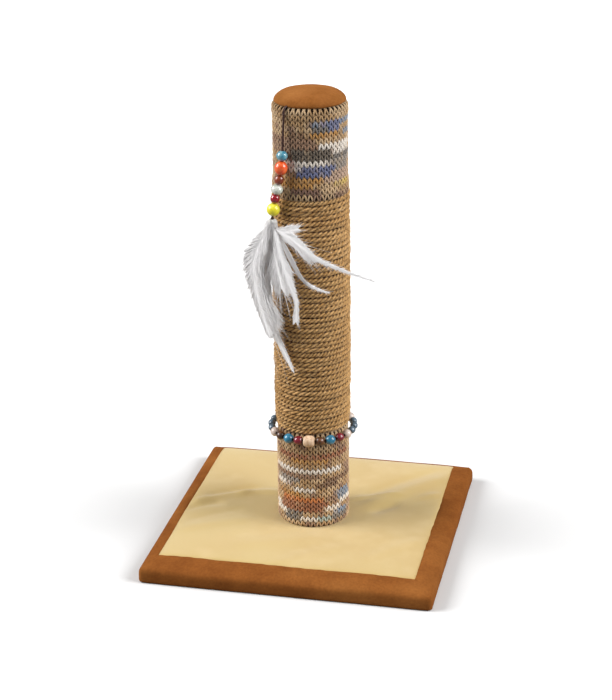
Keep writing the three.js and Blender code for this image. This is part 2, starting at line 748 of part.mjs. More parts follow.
buildBase();
buildPost();
buildCap();
buildToy();
buildFeathers();
buildRing();

export default post;
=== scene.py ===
"""Looks of the cat scratching post: a padded suede base, a rope-wound post with knitted sleeves,
a padded cap, a ring of beads, and a hanging toy of beads and feathers.

Sizes inside the classes are in millimetres in the part's own frame: +Z up the post, -Y the front.
Azimuths are degrees round the post, 0 at the front and positive towards the right.
"""

from __future__ import annotations

import logging
import math
from dataclasses import dataclass
from dataclasses import field
from enum import Enum

import bpy
import numpy as np
from mathutils import Matrix
from mathutils import Vector

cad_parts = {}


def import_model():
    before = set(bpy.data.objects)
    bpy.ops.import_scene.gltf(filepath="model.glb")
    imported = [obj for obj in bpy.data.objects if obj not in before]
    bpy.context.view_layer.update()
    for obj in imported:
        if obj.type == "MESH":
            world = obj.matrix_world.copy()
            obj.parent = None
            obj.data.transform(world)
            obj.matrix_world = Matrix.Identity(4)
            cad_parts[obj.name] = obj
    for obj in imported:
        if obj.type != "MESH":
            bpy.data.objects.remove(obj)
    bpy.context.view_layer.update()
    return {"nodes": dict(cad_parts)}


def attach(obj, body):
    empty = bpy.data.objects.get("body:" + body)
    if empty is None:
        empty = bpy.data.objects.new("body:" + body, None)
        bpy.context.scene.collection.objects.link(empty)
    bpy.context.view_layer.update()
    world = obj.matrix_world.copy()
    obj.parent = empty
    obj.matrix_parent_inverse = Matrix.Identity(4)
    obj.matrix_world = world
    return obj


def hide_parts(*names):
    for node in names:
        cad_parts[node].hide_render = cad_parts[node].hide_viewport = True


log = logging.getLogger("scratching_post")

MM = 0.001
Array = np.ndarray
Node = bpy.types.ShaderNode
Tree = bpy.types.NodeTree
Piece = bpy.types.Object
Socket = bpy.types.NodeSocket
Faces = list[tuple[int, ...]]
Colour = tuple[float, float, float]
Place = tuple[float, float, float]


# ---- small helpers ---------------------------------------------------------------------------


def tone(code: str) -> Colour:
    """Turns a hex colour as seen on screen into the linear colour that shaders take.

    Args:
        code: Six hex digits.

    Returns:
        Red, green and blue in linear light.
    """
    seen = [int(code[i : i + 2], 16) / 255 for i in (0, 2, 4)]
    return tuple(((c + 0.055) / 1.055) ** 2.4 if c > 0.04045 else c / 12.92 for c in seen)


def about_post(azimuth: Array | float, radius: Array | float, height: Array | float) -> Array:
    """Places points round the post's axis.

    Args:
        azimuth: Degrees from the front, positive to the right.
        radius: Distance from the axis in millimetres.
        height: Height above the floor in millimetres.

    Returns:
        An array of points, the last axis being x, y, z.
    """
    a = np.radians(azimuth)
    return np.stack(np.broadcast_arrays(radius * np.sin(a), -radius * np.cos(a), height), axis=-1)


def unit(v: Array) -> Array:
    """Scales vectors along the last axis to length one."""
    return v / np.maximum(np.linalg.norm(v, axis=-1, keepdims=True), 1e-12)


def smooth_noise(count: int, knots: int, rng: np.random.Generator, closed: bool = False) -> Array:
    """Makes a smooth random line between -1 and 1.

    Args:
        count: Number of samples.
        knots: Number of random values it passes through.
        rng: The seeded random source.
        closed: Whether its end joins its start.

    Returns:
        The samples.
    """
    values = rng.uniform(-1, 1, knots)
    if closed:
        values = np.append(values, values[0])
    at = np.linspace(0, len(values) - 1, count)
    low = np.minimum(at.astype(int), len(values) - 2)
    share = at - low
    share = share * share * (3 - 2 * share)
    return values[low] * (1 - share) + values[low + 1] * share


def curve_through(points: Array, count: int) -> Array:
    """Runs an even, smooth curve through points.

    Args:
        points: The points, one a row.
        count: Number of samples along it.

    Returns:
        The samples, evenly spaced by length.
    """
    p = np.asarray(points, float)
    ends = np.vstack([2 * p[0] - p[1], p, 2 * p[-1] - p[-2]])
    dense = []
    for i in range(len(p) - 1):
        a, b, c, d = ends[i : i + 4]
        t = np.linspace(0, 1, 24, endpoint=False)[:, None]
        square, cube = 2 * a - 5 * b + 4 * c - d, 3 * b - a - 3 * c + d
        dense.append(0.5 * (2 * b + (c - a) * t + square * t**2 + cube * t**3))
    line = np.vstack([*dense, p[-1:]])
    gone = travelled(line)
    return spot_on(line, gone, np.linspace(0, gone[-1], count))


def travelled(line: Array) -> Array:
    """Gives how far along a line each of its points is."""
    return np.concatenate([[0], np.cumsum(np.linalg.norm(np.diff(line, axis=0), axis=1))])


def spot_on(line: Array, gone: Array, place: Array | float) -> Array:
    """Finds the point at a distance along a line, or one a row for several distances.

    Args:
        line: The line's points.
        gone: How far along it each of them is.
        place: The distance or distances.

    Returns:
        The point or points.
    """
    return np.stack([np.interp(place, gone, line[:, k]) for k in range(3)], axis=-1)


def wound(middle: Array, side: Array, front: Array, radius: float, turns: float) -> Array:
    """Winds a line round another.

    Args:
        middle: The points it winds round.
        side: The direction it starts in.
        front: The direction a quarter turn further.
        radius: Its distance from them.
        turns: Number of turns.

    Returns:
        One point for each of them.
    """
    angle = np.linspace(0, 2 * math.pi * turns, len(middle))[:, None]
    return middle + radius * (np.cos(angle) * side + np.sin(angle) * front)


def towards(azimuth: float, elevation: float) -> Vector:
    """Gives the direction at an azimuth and an elevation, both in degrees."""
    az, el = math.radians(azimuth), math.radians(elevation)
    return Vector((math.sin(az) * math.cos(el), -math.cos(az) * math.cos(el), math.sin(el)))


def net(rows: int, around: int, closed: bool = False) -> Faces:
    """Lists the faces between rows of points that each close on themselves.

    Args:
        rows: Number of rows.
        around: Number of points in a row.
        closed: Whether the last row joins the first.

    Returns:
        The faces, of four corners each.
    """
    i, j = np.meshgrid(np.arange(rows if closed else rows - 1), np.arange(around), indexing="ij")
    this, other = i * around, (i + 1) % rows * around
    beside = (j + 1) % around
    corners = np.stack([this + j, this + beside, other + beside, other + j], -1)
    return [tuple(face) for face in corners.reshape(-1, 4).tolist()]


def lids(rows: int, around: int) -> Faces:
    """Lists the two faces that close the ends of a net."""
    last = (rows - 1) * around
    return [tuple(reversed(range(around))), tuple(range(last, last + around))]


@dataclass
class Shell:
    """A mesh being gathered: points in millimetres, faces, and what its finish reads."""

    points: list[Array] = field(default_factory=list)
    faces: Faces = field(default_factory=list)
    along: list[Array] = field(default_factory=list)
    tint: list[Array] = field(default_factory=list)
    size: int = 0

    def add(self, points: Array, faces: Faces, along: Array, tint: Array) -> None:
        """Adds a loose piece of surface.

        Args:
            points: Its points.
            faces: Its faces, counted from its own first point.
            along: For each point, how far along and round its yarn or strand it is.
            tint: A colour for each point.
        """
        self.points.append(points)
        self.faces.extend(tuple(i + self.size for i in f) for f in faces)
        self.along.append(along)
        self.tint.append(tint)
        self.size += len(points)

    def sweep(
        self,
        path: Array,
        normal: Array,
        section: Array,
        tint: Array | Colour = (1.0, 1.0, 1.0),
        closed: bool = False,
    ) -> None:
        """Sweeps a section along a path.

        Args:
            path: The stations, one a row.
            normal: A direction at each station that the section's first axis follows.
            section: For each station, its points in the plane across the path.
            tint: One colour, or a colour for each station and point.
            closed: Whether the end joins the start; open ends are capped.
        """
        count, sides = section.shape[:2]
        ahead = np.roll(path, -1, 0) - np.roll(path, 1, 0) if closed else np.gradient(path, axis=0)
        ahead = unit(ahead)
        side = unit(np.cross(ahead, normal))
        out = np.cross(side, ahead)
        points = path[:, None] + out[:, None] * section[..., :1] + side[:, None] * section[..., 1:]
        turn = np.linspace(0, 1, sides, endpoint=False)
        along = np.stack(np.broadcast_arrays(travelled(path)[:, None], turn[None]), axis=-1)
        colours = np.broadcast_to(np.asarray(tint, float), (count, sides, 3))
        faces = net(count, sides, closed) + ([] if closed else lids(count, sides))
        self.add(points.reshape(-1, 3), faces, along.reshape(-1, 2), colours.reshape(-1, 3))

    def skin(self, points: Array, faces: Faces) -> None:
        """Adds a plain surface, laid out by its x and y."""
        self.add(points, faces, points[:, :2], np.ones((len(points), 3)))

    def build(self, name: str) -> Piece:
        """Makes the Blender object, shaded smooth.

        Args:
            name: The piece's name.

        Returns:
            The new object, in the scene.
        """
        mesh = bpy.data.meshes.new(name)
        points = np.vstack(self.points) * MM
        mesh.from_pydata(points.tolist(), [], self.faces)
        corner = np.zeros(len(mesh.loops), np.int32)
        mesh.loops.foreach_get("vertex_index", corner)
        layer = mesh.uv_layers.new(name="along")
        layer.data.foreach_set("uv", np.vstack(self.along)[corner].astype(np.float32).ravel())
        tint = mesh.color_attributes.new("tint", "FLOAT_COLOR", "POINT")
        rgba = np.hstack([np.vstack(self.tint), np.ones((self.size, 1))])
        tint.data.foreach_set("color", rgba.astype(np.float32).ravel())
        mesh.polygons.foreach_set("use_smooth", np.ones(len(mesh.polygons), bool))
        mesh.update()
        piece = bpy.data.objects.new(name, mesh)
        bpy.context.scene.collection.objects.link(piece)
        return piece


def ring_section(radius: Array, sides: int, flatten: float = 1.0) -> Array:
    """Makes round sections.

    Args:
        radius: The radius at each station.
        sides: Number of points round each.
        flatten: Thickness across the normal as a share of the width.

    Returns:
        The sections for Shell.sweep.
    """
    angle = np.linspace(0, 2 * math.pi, sides, endpoint=False)
    shape = np.stack([np.cos(angle) * flatten, np.sin(angle)], axis=1)
    return np.asarray(radius, float)[:, None, None] * shape[None]


def turned(
    profile: list[tuple[float, float]], segments: int, closed: bool = False
) -> tuple[Array, Faces]:
    """Turns a profile about Z.

    Args:
        profile: Radius and height pairs, from the bottom up.
        segments: Number of steps round.
        closed: Whether its end joins its start.

    Returns:
        Points and faces.
    """
    angle = np.linspace(0, 2 * math.pi, segments, endpoint=False)
    x, y = np.cos(angle), np.sin(angle)
    rings = [np.stack([r * x, r * y, np.full(segments, z)], 1) for r, z in profile]
    return np.vstack(rings), net(len(profile), segments, closed)


def settle(
    piece: Piece,
    body: str,
    finish: Finish,
    replaces: tuple[str, ...] = (),
) -> Piece:
    """Dresses a piece and fixes it to its body.

    Args:
        piece: The piece, in place.
        body: The body it moves with.
        finish: What it is made of.
        replaces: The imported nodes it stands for.

    Returns:
        The same piece.
    """
    piece.data.materials.clear()
    piece.data.materials.append(finish.material())
    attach(piece, body)
    if replaces:
        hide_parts(*replaces)
    log.info("%s: %d faces on %s", piece.name, len(piece.data.polygons), body)
    return piece


# ---- finishes --------------------------------------------------------------------------------


class Wiring:
    """A thin helper for wiring a set of shader nodes."""

    def __init__(self, tree: Tree) -> None:
        """Starts from an empty set."""
        self.tree = tree
        self.tree.nodes.clear()

    def lead(self, start: Socket, end: Socket) -> None:
        """Leads an output into an input."""
        self.tree.links.new(start, end)

    def node(
        self, kind: str, inputs: dict[str | int, object] | None = None, **settings: object
    ) -> Node:
        """Adds a node.

        Args:
            kind: Its type, without the ShaderNode prefix.
            inputs: Values or other nodes' outputs for its sockets.
            **settings: Its own settings.

        Returns:
            The node.
        """
        made = self.tree.nodes.new("ShaderNode" + kind)
        for key, value in settings.items():
            setattr(made, key, value)
        for key, value in (inputs or {}).items():
            if isinstance(value, Socket):
                self.lead(value, made.inputs[key])
            else:
                made.inputs[key].default_value = value
        return made


class Paint(Wiring):
    """The nodes of one material."""

    def __init__(self, name: str) -> None:
        """Starts an empty material with its shader and output.

        Args:
            name: The material's name.
        """
        self.made = bpy.data.materials.new(name)
        self.made.use_nodes = True
        super().__init__(self.made.node_tree)
        self.shader = self.node("BsdfPrincipled")
        self.out = self.node("OutputMaterial", {"Surface": self.shader.outputs[0]})

    def set(self, **values: object) -> None:
        """Sets sockets of the shader; underscores in the names stand for spaces."""
        for key, value in values.items():
            self.shader.inputs[key.replace("_", " ")].default_value = value

    def place(self) -> Socket:
        """Gives the place on the object, in metres."""
        return self.node("TexCoord").outputs["Object"]

    def dye(self) -> Socket:
        """Gives the colour kept in the mesh: the dye or the rope's colour, with painted shade and
        painted highlights built into it.
        """
        return self.node("VertexColor", layer_name="tint").outputs["Color"]

    def lay(self) -> Socket:
        """Gives how far along and round its yarn or strand the surface is."""
        return self.node("UVMap", uv_map="along").outputs[0]

    def maths(self, way: str, first: Socket, second: Socket | float = 0.0) -> Socket:
        """Works out one number from others."""
        return self.node("Math", {0: first, 1: second}, operation=way).outputs[0]

    def noise(self, scale: float, detail: float = 3, at: Socket | None = None) -> Socket:
        """Gives a noise between 0 and 1.

        Args:
            scale: Cells to a metre.
            detail: Number of finer layers.
            at: Where it is read; the place on the object if left out.

        Returns:
            The noise's output.
        """
        inputs = {"Scale": scale, "Detail": detail, "Vector": at or self.place()}
        return self.node("TexNoise", inputs).outputs["Fac"]

    def between(
        self, share: Socket, low: float, high: float, to_low: float = 0.0, to_high: float = 1.0
    ) -> Socket:
        """Stretches a value from one range to another and keeps it inside.

        Args:
            share: The value.
            low: Start of the first range.
            high: End of the first range.
            to_low: Start of the second range.
            to_high: End of the second range.

        Returns:
            The new value's output.
        """
        inputs = {"Value": share, 1: low, 2: high, 3: to_low, 4: to_high}
        return self.node("MapRange", inputs, clamp=True).outputs[0]

    def mix(
        self,
        share: Socket | float,
        first: Socket | Colour,
        second: Socket | Colour,
        way: str = "MIX",
    ) -> Socket:
        """Mixes two colours.

        Args:
            share: How much of the second.
            first: The first colour.
            second: The second colour.
            way: How they blend.

        Returns:
            The mixed colour's output.
        """
        full = [(*c, 1.0) if isinstance(c, tuple) else c for c in (first, second)]
        inputs = {0: share, 6: full[0], 7: full[1]}
        return self.node("Mix", inputs, data_type="RGBA", blend_type=way).outputs[2]

    def colour(self, value: Socket) -> None:
        """Leads a colour into the shader."""
        self.lead(value, self.shader.inputs["Base Color"])

    def bump(self, height: Socket, depth: float, strength: float = 1.0) -> None:
        """Raises the surface by a height.

        Args:
            height: The height's output, 0 to 1.
            depth: What 1 is in metres.
            strength: How strong the bump is.
        """
        made = self.node("Bump", {"Height": height, "Distance": depth, "Strength": strength})
        before = self.shader.inputs["Normal"].links
        if before:
            self.lead(before[0].from_socket, made.inputs["Normal"])
        self.lead(made.outputs[0], self.shader.inputs["Normal"])


class Finish:
    """What a piece is made of. A finish makes its material once and hands it out again."""

    kept: dict[str, bpy.types.Material] = {}

    def material(self) -> bpy.types.Material:
        """Gives the material, made on first use.

        Returns:
            The material.
        """
        key = repr(self)
        if key not in Finish.kept:
            Finish.kept[key] = self.make()
        return Finish.kept[key]

    def make(self) -> bpy.types.Material:
        """Makes the material; each finish has its own way."""
        raise NotImplementedError


@dataclass(frozen=True)
class Suede(Finish):
    """Imitation suede with a short nap, brushed in patches."""

    name: str
    nap: Colour
    brushed: Colour
    worn: Colour
    # Cells to a metre of the brushed patches, the worn ones, the specks, the dents and the hair.
    patches: float = 52
    wear: float = 17
    specks: float = 420
    dents: float = 150
    hair: float = 2600

    def make(self) -> bpy.types.Material:
        """Makes the material.

        Returns:
            The material.
        """
        p = Paint(self.name)
        patch = p.between(p.noise(self.patches, 4), 0.36, 0.7, 0.0, 0.75)
        base = p.mix(patch, self.nap, self.brushed)
        base = p.mix(p.between(p.noise(self.wear), 0.48, 0.72, 0.0, 0.6), base, self.worn)
        speck = p.between(p.noise(self.specks), 0.3, 0.75, 0.0, 0.28)
        p.colour(p.mix(speck, base, self.brushed, "MULTIPLY"))
        p.set(Roughness=0.92, Sheen_Weight=0.12, Sheen_Roughness=0.45, Specular_IOR_Level=0.08)
        p.set(Sheen_Tint=(*self.worn, 1.0))
        p.bump(p.noise(self.hair, 2), 0.00025, 0.5)
        p.bump(p.noise(self.dents), 0.0006, 0.35)
        return p.made


@dataclass(frozen=True)
class BrushedCotton(Finish):
    """A plain woven cotton with a soft face."""

    name: str
    ground: Colour
    warm: Colour
    pale: Colour
    # Metres from thread to thread, and cells to a metre of its clouds, pale patches and dents.
    thread: float = 0.00176
    clouds: float = 9
    patches: float = 26
    dents: float = 60

    def make(self) -> bpy.types.Material:
        """Makes the material.

        Returns:
            The material.
        """
        p = Paint(self.name)
        at = p.place()
        base = p.mix(p.between(p.noise(self.clouds, 2), 0.35, 0.65), self.ground, self.warm)
        base = p.mix(p.between(p.noise(self.patches), 0.52, 0.8, 0, 0.55), base, self.pale)
        weave = []
        for axis in ("X", "Y"):
            wave = {"Vector": at, "Scale": 1 / self.thread, "Distortion": 0.6, "Detail": 1}
            weave.append(p.node("TexWave", wave, bands_direction=axis).outputs["Fac"])
        cross = p.maths("MULTIPLY", *weave)
        # Painted shade: the gaps between threads are darkened.
        p.colour(p.mix(p.between(cross, 0, 1, 0.12, 0.0), base, tuple(c * 0.72 for c in self.warm)))
        p.set(Roughness=0.88, Sheen_Weight=0.25, Sheen_Roughness=0.6, Specular_IOR_Level=0.2)
        p.bump(cross, 0.00012, 0.5)
        p.bump(p.noise(self.dents), 0.0008, 0.3)
        return p.made


@dataclass(frozen=True)
class Yarn(Finish):
    """A soft two-ply yarn, dyed in lengths."""

    name: str
    twist: float = 0.62  # turns to a millimetre of yarn
    fibres: float = 1500  # cells to a metre
    # Near black painted into the hollows between fibres as painted shade.
    fibre_hollow_shade: Colour = (0.05, 0.033, 0.022)
    lit: Colour = (0.72, 0.55, 0.4)

    def make(self) -> bpy.types.Material:
        """Makes the material.

        Returns:
            The material.
        """
        p = Paint(self.name)
        parts = p.node("SeparateXYZ", {0: p.lay()})
        turn = p.maths("ADD", p.maths("MULTIPLY", parts.outputs[0], self.twist), parts.outputs[1])
        ply = p.between(p.maths("SINE", p.maths("MULTIPLY", turn, 2 * math.pi)), -1, 1)
        fibre = p.noise(self.fibres, 2)
        # Painted shade: where the fibre noise is low, the yarn's colour is darkened towards near
        # black.
        base = p.mix(p.between(fibre, 0.3, 0.6, 0.3, 0.0), p.dye(), self.fibre_hollow_shade)
        p.colour(p.mix(p.between(ply, 0.5, 1.0, 0.0, 0.2), base, self.lit))
        p.set(Roughness=0.95, Sheen_Weight=0.3, Sheen_Roughness=0.5, Specular_IOR_Level=0.12)
        p.bump(ply, 0.0004, 0.6)
        p.bump(fibre, 0.0003, 0.6)
        return p.made


@dataclass(frozen=True)
class JuteRope(Finish):
    """Three-strand natural rope, its fibres running along the strands."""

    name: str
    dark: Colour
    straw: Colour
    # Cells to a metre of the patches and the specks.
    patches: float = 620
    specks: float = 1900

    def make(self) -> bpy.types.Material:
        """Makes the material.

        Returns:
            The material.
        """
        p = Paint(self.name)
        drawn_out = p.node("Mapping", {"Vector": p.lay(), "Scale": (0.35, 26.0, 1.0)}).outputs[0]
        streak = p.noise(1.4, 4, drawn_out)
        base = p.mix(p.between(streak, 0.46, 0.72, 0.0, 0.7), p.dye(), self.straw)
        base = p.mix(p.between(streak, 0.24, 0.45, 0.7, 0.0), base, self.dark)
        patch = p.noise(self.patches)
        base = p.mix(p.between(patch, 0.3, 0.5, 0.5, 0.0), base, self.dark)
        base = p.mix(p.between(patch, 0.55, 0.75, 0.0, 0.5), base, self.straw)
        speck = p.between(p.noise(self.specks, 2), 0.35, 0.65, 0.3, 0.0)
        p.colour(p.mix(speck, base, self.dark))
        p.set(Roughness=0.93, Sheen_Weight=0.15, Specular_IOR_Level=0.15)
        p.bump(streak, 0.0008, 0.8)
        p.bump(patch, 0.0008, 0.6)
        return p.made


@dataclass(frozen=True)
class Feathered(Finish):
    """White feather, thin enough for light to pass into it."""

    name: str
    white: Colour
    shade: Colour

    def make(self) -> bpy.types.Material:
        """Makes the material.

        Returns:
            The material.
        """
        p = Paint(self.name)
        cloud = p.between(p.noise(120), 0.4, 0.75, 0, 0.35)
        p.colour(p.mix(cloud, self.white, self.shade))
        p.set(Roughness=0.75, Subsurface_Weight=0.3, Subsurface_Scale=0.004, Sheen_Weight=0.8)
        p.set(Subsurface_Radius=(1.0, 1.0, 1.0))
        p.set(Specular_IOR_Level=0.25)
        p.bump(p.noise(900, 2), 0.0002, 0.3)
        return p.made


@dataclass(frozen=True)
class Lacquer(Finish):
    """A painted or coloured bead under a clear coat, with a little marbling."""

    name: str
    main: Colour
    second: Colour
    share: float = 0.3
    roughness: float = 0.3
    coat: float = 0.6
    clear: float = 0.0
    grain: bool = False

    def make(self) -> bpy.types.Material:
        """Makes the material.

        Returns:
            The material.
        """
        p = Paint(self.name)
        at = p.place()
        if self.grain:
            at = p.node("Mapping", {"Vector": at, "Scale": (1.0, 1.0, 0.22)}).outputs[0]
        swirl = p.noise(420 if self.grain else 190, 3, at)
        high = 0.5 + 0.4 * (1 - self.share)
        p.colour(p.mix(p.between(swirl, 0.5 - 0.3 * self.share, high), self.main, self.second))
        p.set(Roughness=self.roughness, Coat_Weight=self.coat, Coat_Roughness=0.08)
        p.set(Transmission_Weight=self.clear)
        p.bump(p.noise(500, 3), 0.0002, 0.25)
        return p.made


@dataclass(frozen=True)
class Plain(Finish):
    """A plain dull or metal surface for what is hardly seen."""

    name: str
    main: Colour
    second: Colour
    scale: float = 300.0
    roughness: float = 0.85
    metal: float = 0.0

    def make(self) -> bpy.types.Material:
        """Makes the material.

        Returns:
            The material.
        """
        p = Paint(self.name)
        grain = p.noise(self.scale, 4)
        p.colour(p.mix(p.between(grain, 0.35, 0.65), self.main, self.second))
        p.set(Roughness=self.roughness, Metallic=self.metal)
        p.bump(grain, 0.0002, 0.4)
        return p.made


CAP_SUEDE = Suede("cap_suede", tone("98602f"), tone("85501f"), tone("a9713a"))
SUEDE = Suede("tan_suede", tone("8a5223"), tone("77431a"), tone("9c6430"))
CREAM = BrushedCotton("cream_cotton", tone("c0a76b"), tone("ba9d5f"), tone("ccb47f"))
KNIT_YARN = Yarn("variegated_yarn")
JUTE = JuteRope("jute_rope", tone("63401b"), tone("efc485"))
WHITE_FEATHER = Feathered("white_feather", tone("fffdfd"), tone("f8f6f8"))
DARK_CORD = Plain("dark_waxed_cord", tone("2a130c"), tone("45231a"), 1400, 0.55)
THREAD = Plain("binding_thread", tone("f0ede6"), tone("d9d4c9"), 1800, 0.8)
BOARD = (tone("b48a5c"), tone("a0774b"))
ZINC = (tone("b9bcc0"), tone("a3a6aa"), 500, 0.35, 1.0)
HIDDEN = {
    "base_board": Plain("fibreboard", *BOARD),
    "bottom_plug": Plain("bottom_fibreboard", *BOARD),
    "top_plug": Plain("top_fibreboard", *BOARD),
    "post_bolt": Plain("zinc_bolt", *ZINC),
    "bolt_washer": Plain("zinc_washer", *ZINC),
    "threaded_insert": Plain("zinc_insert", *ZINC),
    "cord_staple": Plain("zinc_staple", *ZINC),
    "bottom_cloth": Plain("black_cloth", tone("26221f"), tone("332e2a"), 1600, 0.95),
    # The tube's cardboard is painted darker than it is, as painted shade behind the knit's gaps.
    "post_tube": Plain("cardboard_tube_darkened_as_shade", tone("3c2a1e"), tone("4a3526"), 250, 0.95),
    "ring_cord": Plain("dark_elastic", tone("1d1512"), tone("2c201b"), 1500, 0.7),
}


# ---- the studio ------------------------------------------------------------------------------


@dataclass
class Studio:
    """The camera at the photograph's angle, a pale floor and soft lamps."""

    camera_at: Place = (383.915, -1759.903, 938.548)
    azimuth: float = 12.508
    elevation: float = 22.15
    roll: float = -0.643
    lens: float = 97.66
    sensor: float = 36.0
    # Power and azimuth of the two lamps, their common elevation and how wide they look.
    right_sun: float = 3.7
    right_azimuth: float = 88
    left_sun: float = 4.0
    left_azimuth: float = -77
    sun_elevation: float = 31
    sun_spread: float = 40
    # Brightness of the sky at the horizon and overhead.
    low_sky: float = 0.1
    high_sky: float = 0.36
    # How pale the floor looks by the object, greyed there as a painted shadow, and away from it, in
    # metres from its middle, and the grey that throws light back.
    floor_painted_shadow: float = 0.73
    floor_far: float = 0.95
    near_to: float = 0.2
    far_from: float = 0.42
    floor_bounce: float = 0.21
    floor_reach: float = 9000.0
    floor_level: float = -0.3

    def camera(self) -> None:
        """Makes the camera."""
        ro = math.radians(self.roll)
        back = towards(self.azimuth, self.elevation)
        right = (-back).cross(Vector((0, 0, 1))).normalized()
        up = right.cross(-back)
        across = math.cos(ro) * right + math.sin(ro) * up
        upward = -math.sin(ro) * right + math.cos(ro) * up
        turn = Matrix((across, upward, back)).transposed().to_4x4()
        lens = bpy.data.cameras.new("camera")
        lens.lens = self.lens
        lens.sensor_width = self.sensor
        lens.clip_end = 100
        camera = bpy.data.objects.new("camera", lens)
        camera.matrix_world = Matrix.Translation(Vector(self.camera_at) * MM) @ turn
        bpy.context.scene.collection.objects.link(camera)
        bpy.context.scene.camera = camera

    def sun(self, name: str, azimuth: float, power: float) -> None:
        """Makes a soft distant lamp.

        Args:
            name: The lamp's name.
            azimuth: Where it stands, in degrees from the front towards the right.
            power: Its power in watts a square metre.
        """
        light = bpy.data.lights.new(name, "SUN")
        light.energy = power
        light.angle = math.radians(self.sun_spread)
        lamp = bpy.data.objects.new(name, light)
        at = towards(azimuth, self.sun_elevation)
        lamp.location = at * 2
        lamp.rotation_euler = (-at).to_track_quat("-Z", "Y").to_euler()
        bpy.context.scene.collection.objects.link(lamp)

    def world(self) -> None:
        """Makes the sky: white where it is seen, and brighter overhead where it lights."""
        sky = bpy.data.worlds.new("sky")
        sky.use_nodes = True
        w = Wiring(sky.node_tree)
        white = (1, 1, 1, 1)
        ray = w.node("LightPath").outputs
        rays = {0: ray["Is Camera Ray"], 1: ray["Is Transmission Ray"]}
        seen = w.node("Math", rays, operation="MAXIMUM")
        parts = w.node("SeparateXYZ", {0: w.node("TexCoord").outputs["Generated"]})
        span = {"Value": parts.outputs[2], "To Min": self.low_sky, "To Max": self.high_sky}
        rise = w.node("MapRange", span)
        lit = w.node("Background", {"Color": white, "Strength": rise.outputs[0]})
        plain = w.node("Background", {"Color": white})
        both = w.node("MixShader", {0: seen.outputs[0], 1: lit.outputs[0], 2: plain.outputs[0]})
        w.node("OutputWorld", {0: both.outputs[0]})
        bpy.context.scene.world = sky

    def floor(self) -> None:
        """Makes the pale floor, which keeps the shadow, is greyed round the object as a painted
        shadow, and throws back a little light.
        """
        shell = Shell()
        square = np.array([[-1, -1, 0], [1, -1, 0], [1, 1, 0], [-1, 1, 0]]) * self.floor_reach
        square[:, 2] = self.floor_level
        shell.skin(square, [(0, 1, 2, 3)])
        floor = shell.build("floor")
        p = Paint("white_floor")
        p.set(Base_Color=(*[self.floor_bounce] * 3, 1), Roughness=0.95, Specular_IOR_Level=0.0)
        away = p.node("VectorMath", {0: p.place()}, operation="LENGTH").outputs["Value"]
        # Painted shadow: the floor is greyer near the object's middle and grows paler away from it.
        shade = p.between(away, self.near_to, self.far_from, self.floor_painted_shadow, self.floor_far)
        grey = p.node("CombineXYZ", {0: shade, 1: shade, 2: shade}).outputs[0]
        pale = p.node("BsdfDiffuse", {"Color": grey}).outputs[0]
        seen = p.node("LightPath").outputs["Is Camera Ray"]
        both = p.node("MixShader", {0: seen, 1: p.shader.outputs[0], 2: pale})
        p.lead(both.outputs[0], p.out.inputs["Surface"])
        floor.data.materials.append(p.made)

    def build(self) -> None:
        """Makes the camera, the sky, the floor and the lamps."""
        bpy.context.scene.view_settings.view_transform = "Standard"
        self.camera()
        self.world()
        self.floor()
        self.sun("right_lamp", self.right_azimuth, self.right_sun)
        self.sun("left_lamp", self.left_azimuth, self.left_sun)


# ---- the base --------------------------------------------------------------------------------


